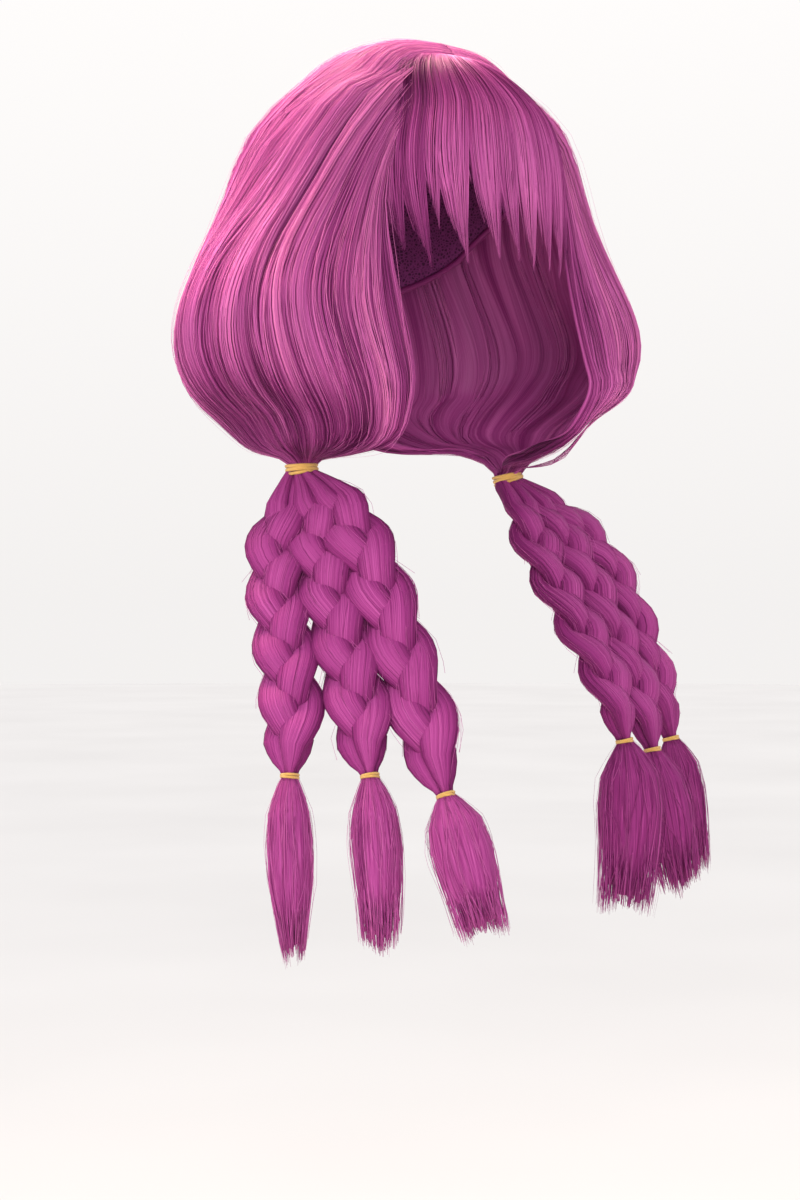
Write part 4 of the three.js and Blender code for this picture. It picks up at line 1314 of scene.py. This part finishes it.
def tassel_bundles(draw, plait):
    """The core of a tassel and the fibres round it."""
    way = tassel_way(plait)
    along = unit(np.gradient(way, axis=0))
    right = unit(np.array([1, 0, 0]) - along[:, :1] * along)
    ahead = np.cross(along, right)
    flip = FLIP[plait["side"]]
    # The tone of a side's tassels, darker on the wearer's left as painted shade.
    side_tone_and_shade = TASSEL_TONE_AND_SHADE[plait["side"]]

    count = TASSEL_FIBRES
    angle = scattered(draw, count, 0, 2 * np.pi)
    ragged = RAGGED["broad"] * (1 + np.sin(2 * angle + plait["tip"][0]))
    ragged = ragged + RAGGED["fine"] * (1 + np.sin(5 * angle))
    shorter = draw.exponential(RAGGED["short"] + RAGGED["pointed"] * (1 - plait["tip_share"]), (count, 1))
    share = tassel_down * (TASSEL_REACH - ragged - np.minimum(RAGGED["most"], shorter))
    spot = np.rint(share * TASSEL_POINTS).astype(int)
    angle = angle + waves(draw, count, tassel_down, TASSEL_FIBRE["wander"])
    place = np.sqrt(scattered(draw, count, *TASSEL_FIBRE["place"]))
    place[:TASSEL_STRAYS] = scattered(draw, TASSEL_STRAYS, *TASSEL_STRAY["place"])
    radius = tassel_radius(plait, share, plait["tip_share"])
    radius = radius * (place + waves(draw, count, tassel_down, TASSEL_FIBRE["sway"]))
    outward = np.cos(angle)[..., None] * right[spot] + np.sin(angle)[..., None] * ahead[spot]
    paths = way[spot] + outward * radius[..., None]
    width = mix(*TASSEL_WIDTH, blend(share, 0, 0.3)) * (1 - 0.75 * blend(share, 0.9, TASSEL_REACH))
    width[:TASSEL_STRAYS] *= TASSEL_STRAY["width"]
    # Fibres nearer the outside are painted lighter, inner ones darker as painted shade.
    tone = side_tone_and_shade + TASSEL_FIBRE["outer_painted_light"] * place + draw.normal(0, TASSEL_FIBRE["tone"], (count, 1))
    tone = tone + waves(draw, count, tassel_down, TASSEL_FIBRE["tone_sway"])
    fibres = flat_tubes(paths * flip * MM, outward * flip, width, tone)

    core_share = np.linspace(0, TASSEL_CORE["end"], TASSEL_CORE["steps"])
    core_spot = np.rint(core_share * TASSEL_POINTS).astype(int)
    core_radius = tassel_radius(plait, core_share, plait["tip_share"] * TASSEL_CORE["tip"])
    narrowed = blend(core_share, TASSEL_CORE["narrow_from"], TASSEL_CORE["end"])
    core_radius = (core_radius * mix(*TASSEL_CORE["radius"], narrowed))[None] * MM
    core = tubes(way[core_spot][None] * flip * MM, ahead[core_spot][None] * flip,
                 core_radius, core_radius, side_tone_and_shade, CORE_SIDES, CORE_STREAKS)
    return [core, fibres]


for seed, plait in enumerate(PLAITS, TASSEL_SEED):
    bundles = tassel_bundles(np.random.default_rng(seed), plait)
    fibre_piece(f"tassel_fibres_{label(plait)}", bundles, hair_plait, f"tassel_{label(plait)}")

# %% [markdown]
# ## Elastic bands
# Each bunch and each plait's end is held by an elastic wound round it a few times. One turn is a torus. The
# turns are stacked with slightly different tilts, joined into one piece and then turned to lie square
# across the hair that they hold.

# %% Elastic bands
BAND_SEGMENTS = {"round": 56, "thread": 10}
BAND_TILT = 0.07
BAND_UNEVEN = 0.02
BAND_COLUMNS = ("radius", "thread", "pitch", "turns")
BUNCH_BAND = dict(zip(BAND_COLUMNS, (8.4 * MM, 0.95 * MM, 1.15 * MM, 4)))
PLAIT_BAND = dict(zip(BAND_COLUMNS, (4.5 * MM, 0.75 * MM, 1.2 * MM, 2)))
BAND_LEAN = {"right": (-0.09, 0.06, 1), "left": (-0.22, 0.16, 1)}
BAND_RISE = 0.4 * MM


def band(name, place, along, size, node):
    """An elastic wound round the hair at a place (metres), square to the hair's direction."""
    made = []
    radius, turns = size["radius"], size["turns"]
    for k in range(turns):
        bpy.ops.object.select_all(action="DESELECT")
        tilt_x = BAND_TILT * math.sin(2.4 * k + radius * 900)
        tilt_y = BAND_TILT * math.cos(1.7 * k + radius * 700)
        bpy.ops.mesh.primitive_torus_add(
            major_radius=radius * (1 + BAND_UNEVEN * math.sin(3.1 * k)), minor_radius=size["thread"],
            major_segments=BAND_SEGMENTS["round"], minor_segments=BAND_SEGMENTS["thread"],
            location=(0, 0, (k - (turns - 1) / 2) * size["pitch"]), rotation=(tilt_x, tilt_y, 0.9 * k))
        bpy.ops.object.transform_apply(location=True, rotation=True, scale=True)
        made.append(bpy.context.object)
    for turn in made:
        turn.select_set(True)
    bpy.ops.object.join()
    piece = bpy.context.object
    piece.name = name
    bpy.ops.object.shade_smooth()
    piece.rotation_euler = Vector(along).to_track_quat("Z", "Y").to_euler()
    piece.location = place
    bpy.ops.object.transform_apply(location=True, rotation=True, scale=True)
    settle(piece, elastic, "elastic", node)


for side, flip in FLIP.items():
    place = np.array([BUNCH["lateral"], 0, BUNCH["z"]]) * flip * MM
    band(f"bunch_band_{side}", place, BAND_LEAN[side], BUNCH_BAND, f"bunch_tie_{side}")
for plait in PLAITS:
    way = plait_way(plait) * FLIP[plait["side"]] * MM
    along = unit(way[-2] - way[-1])
    place = way[-1] + along * BAND_RISE
    band(f"plait_band_{label(plait)}", place, along, PLAIT_BAND, f"braid_tie_{label(plait)}")
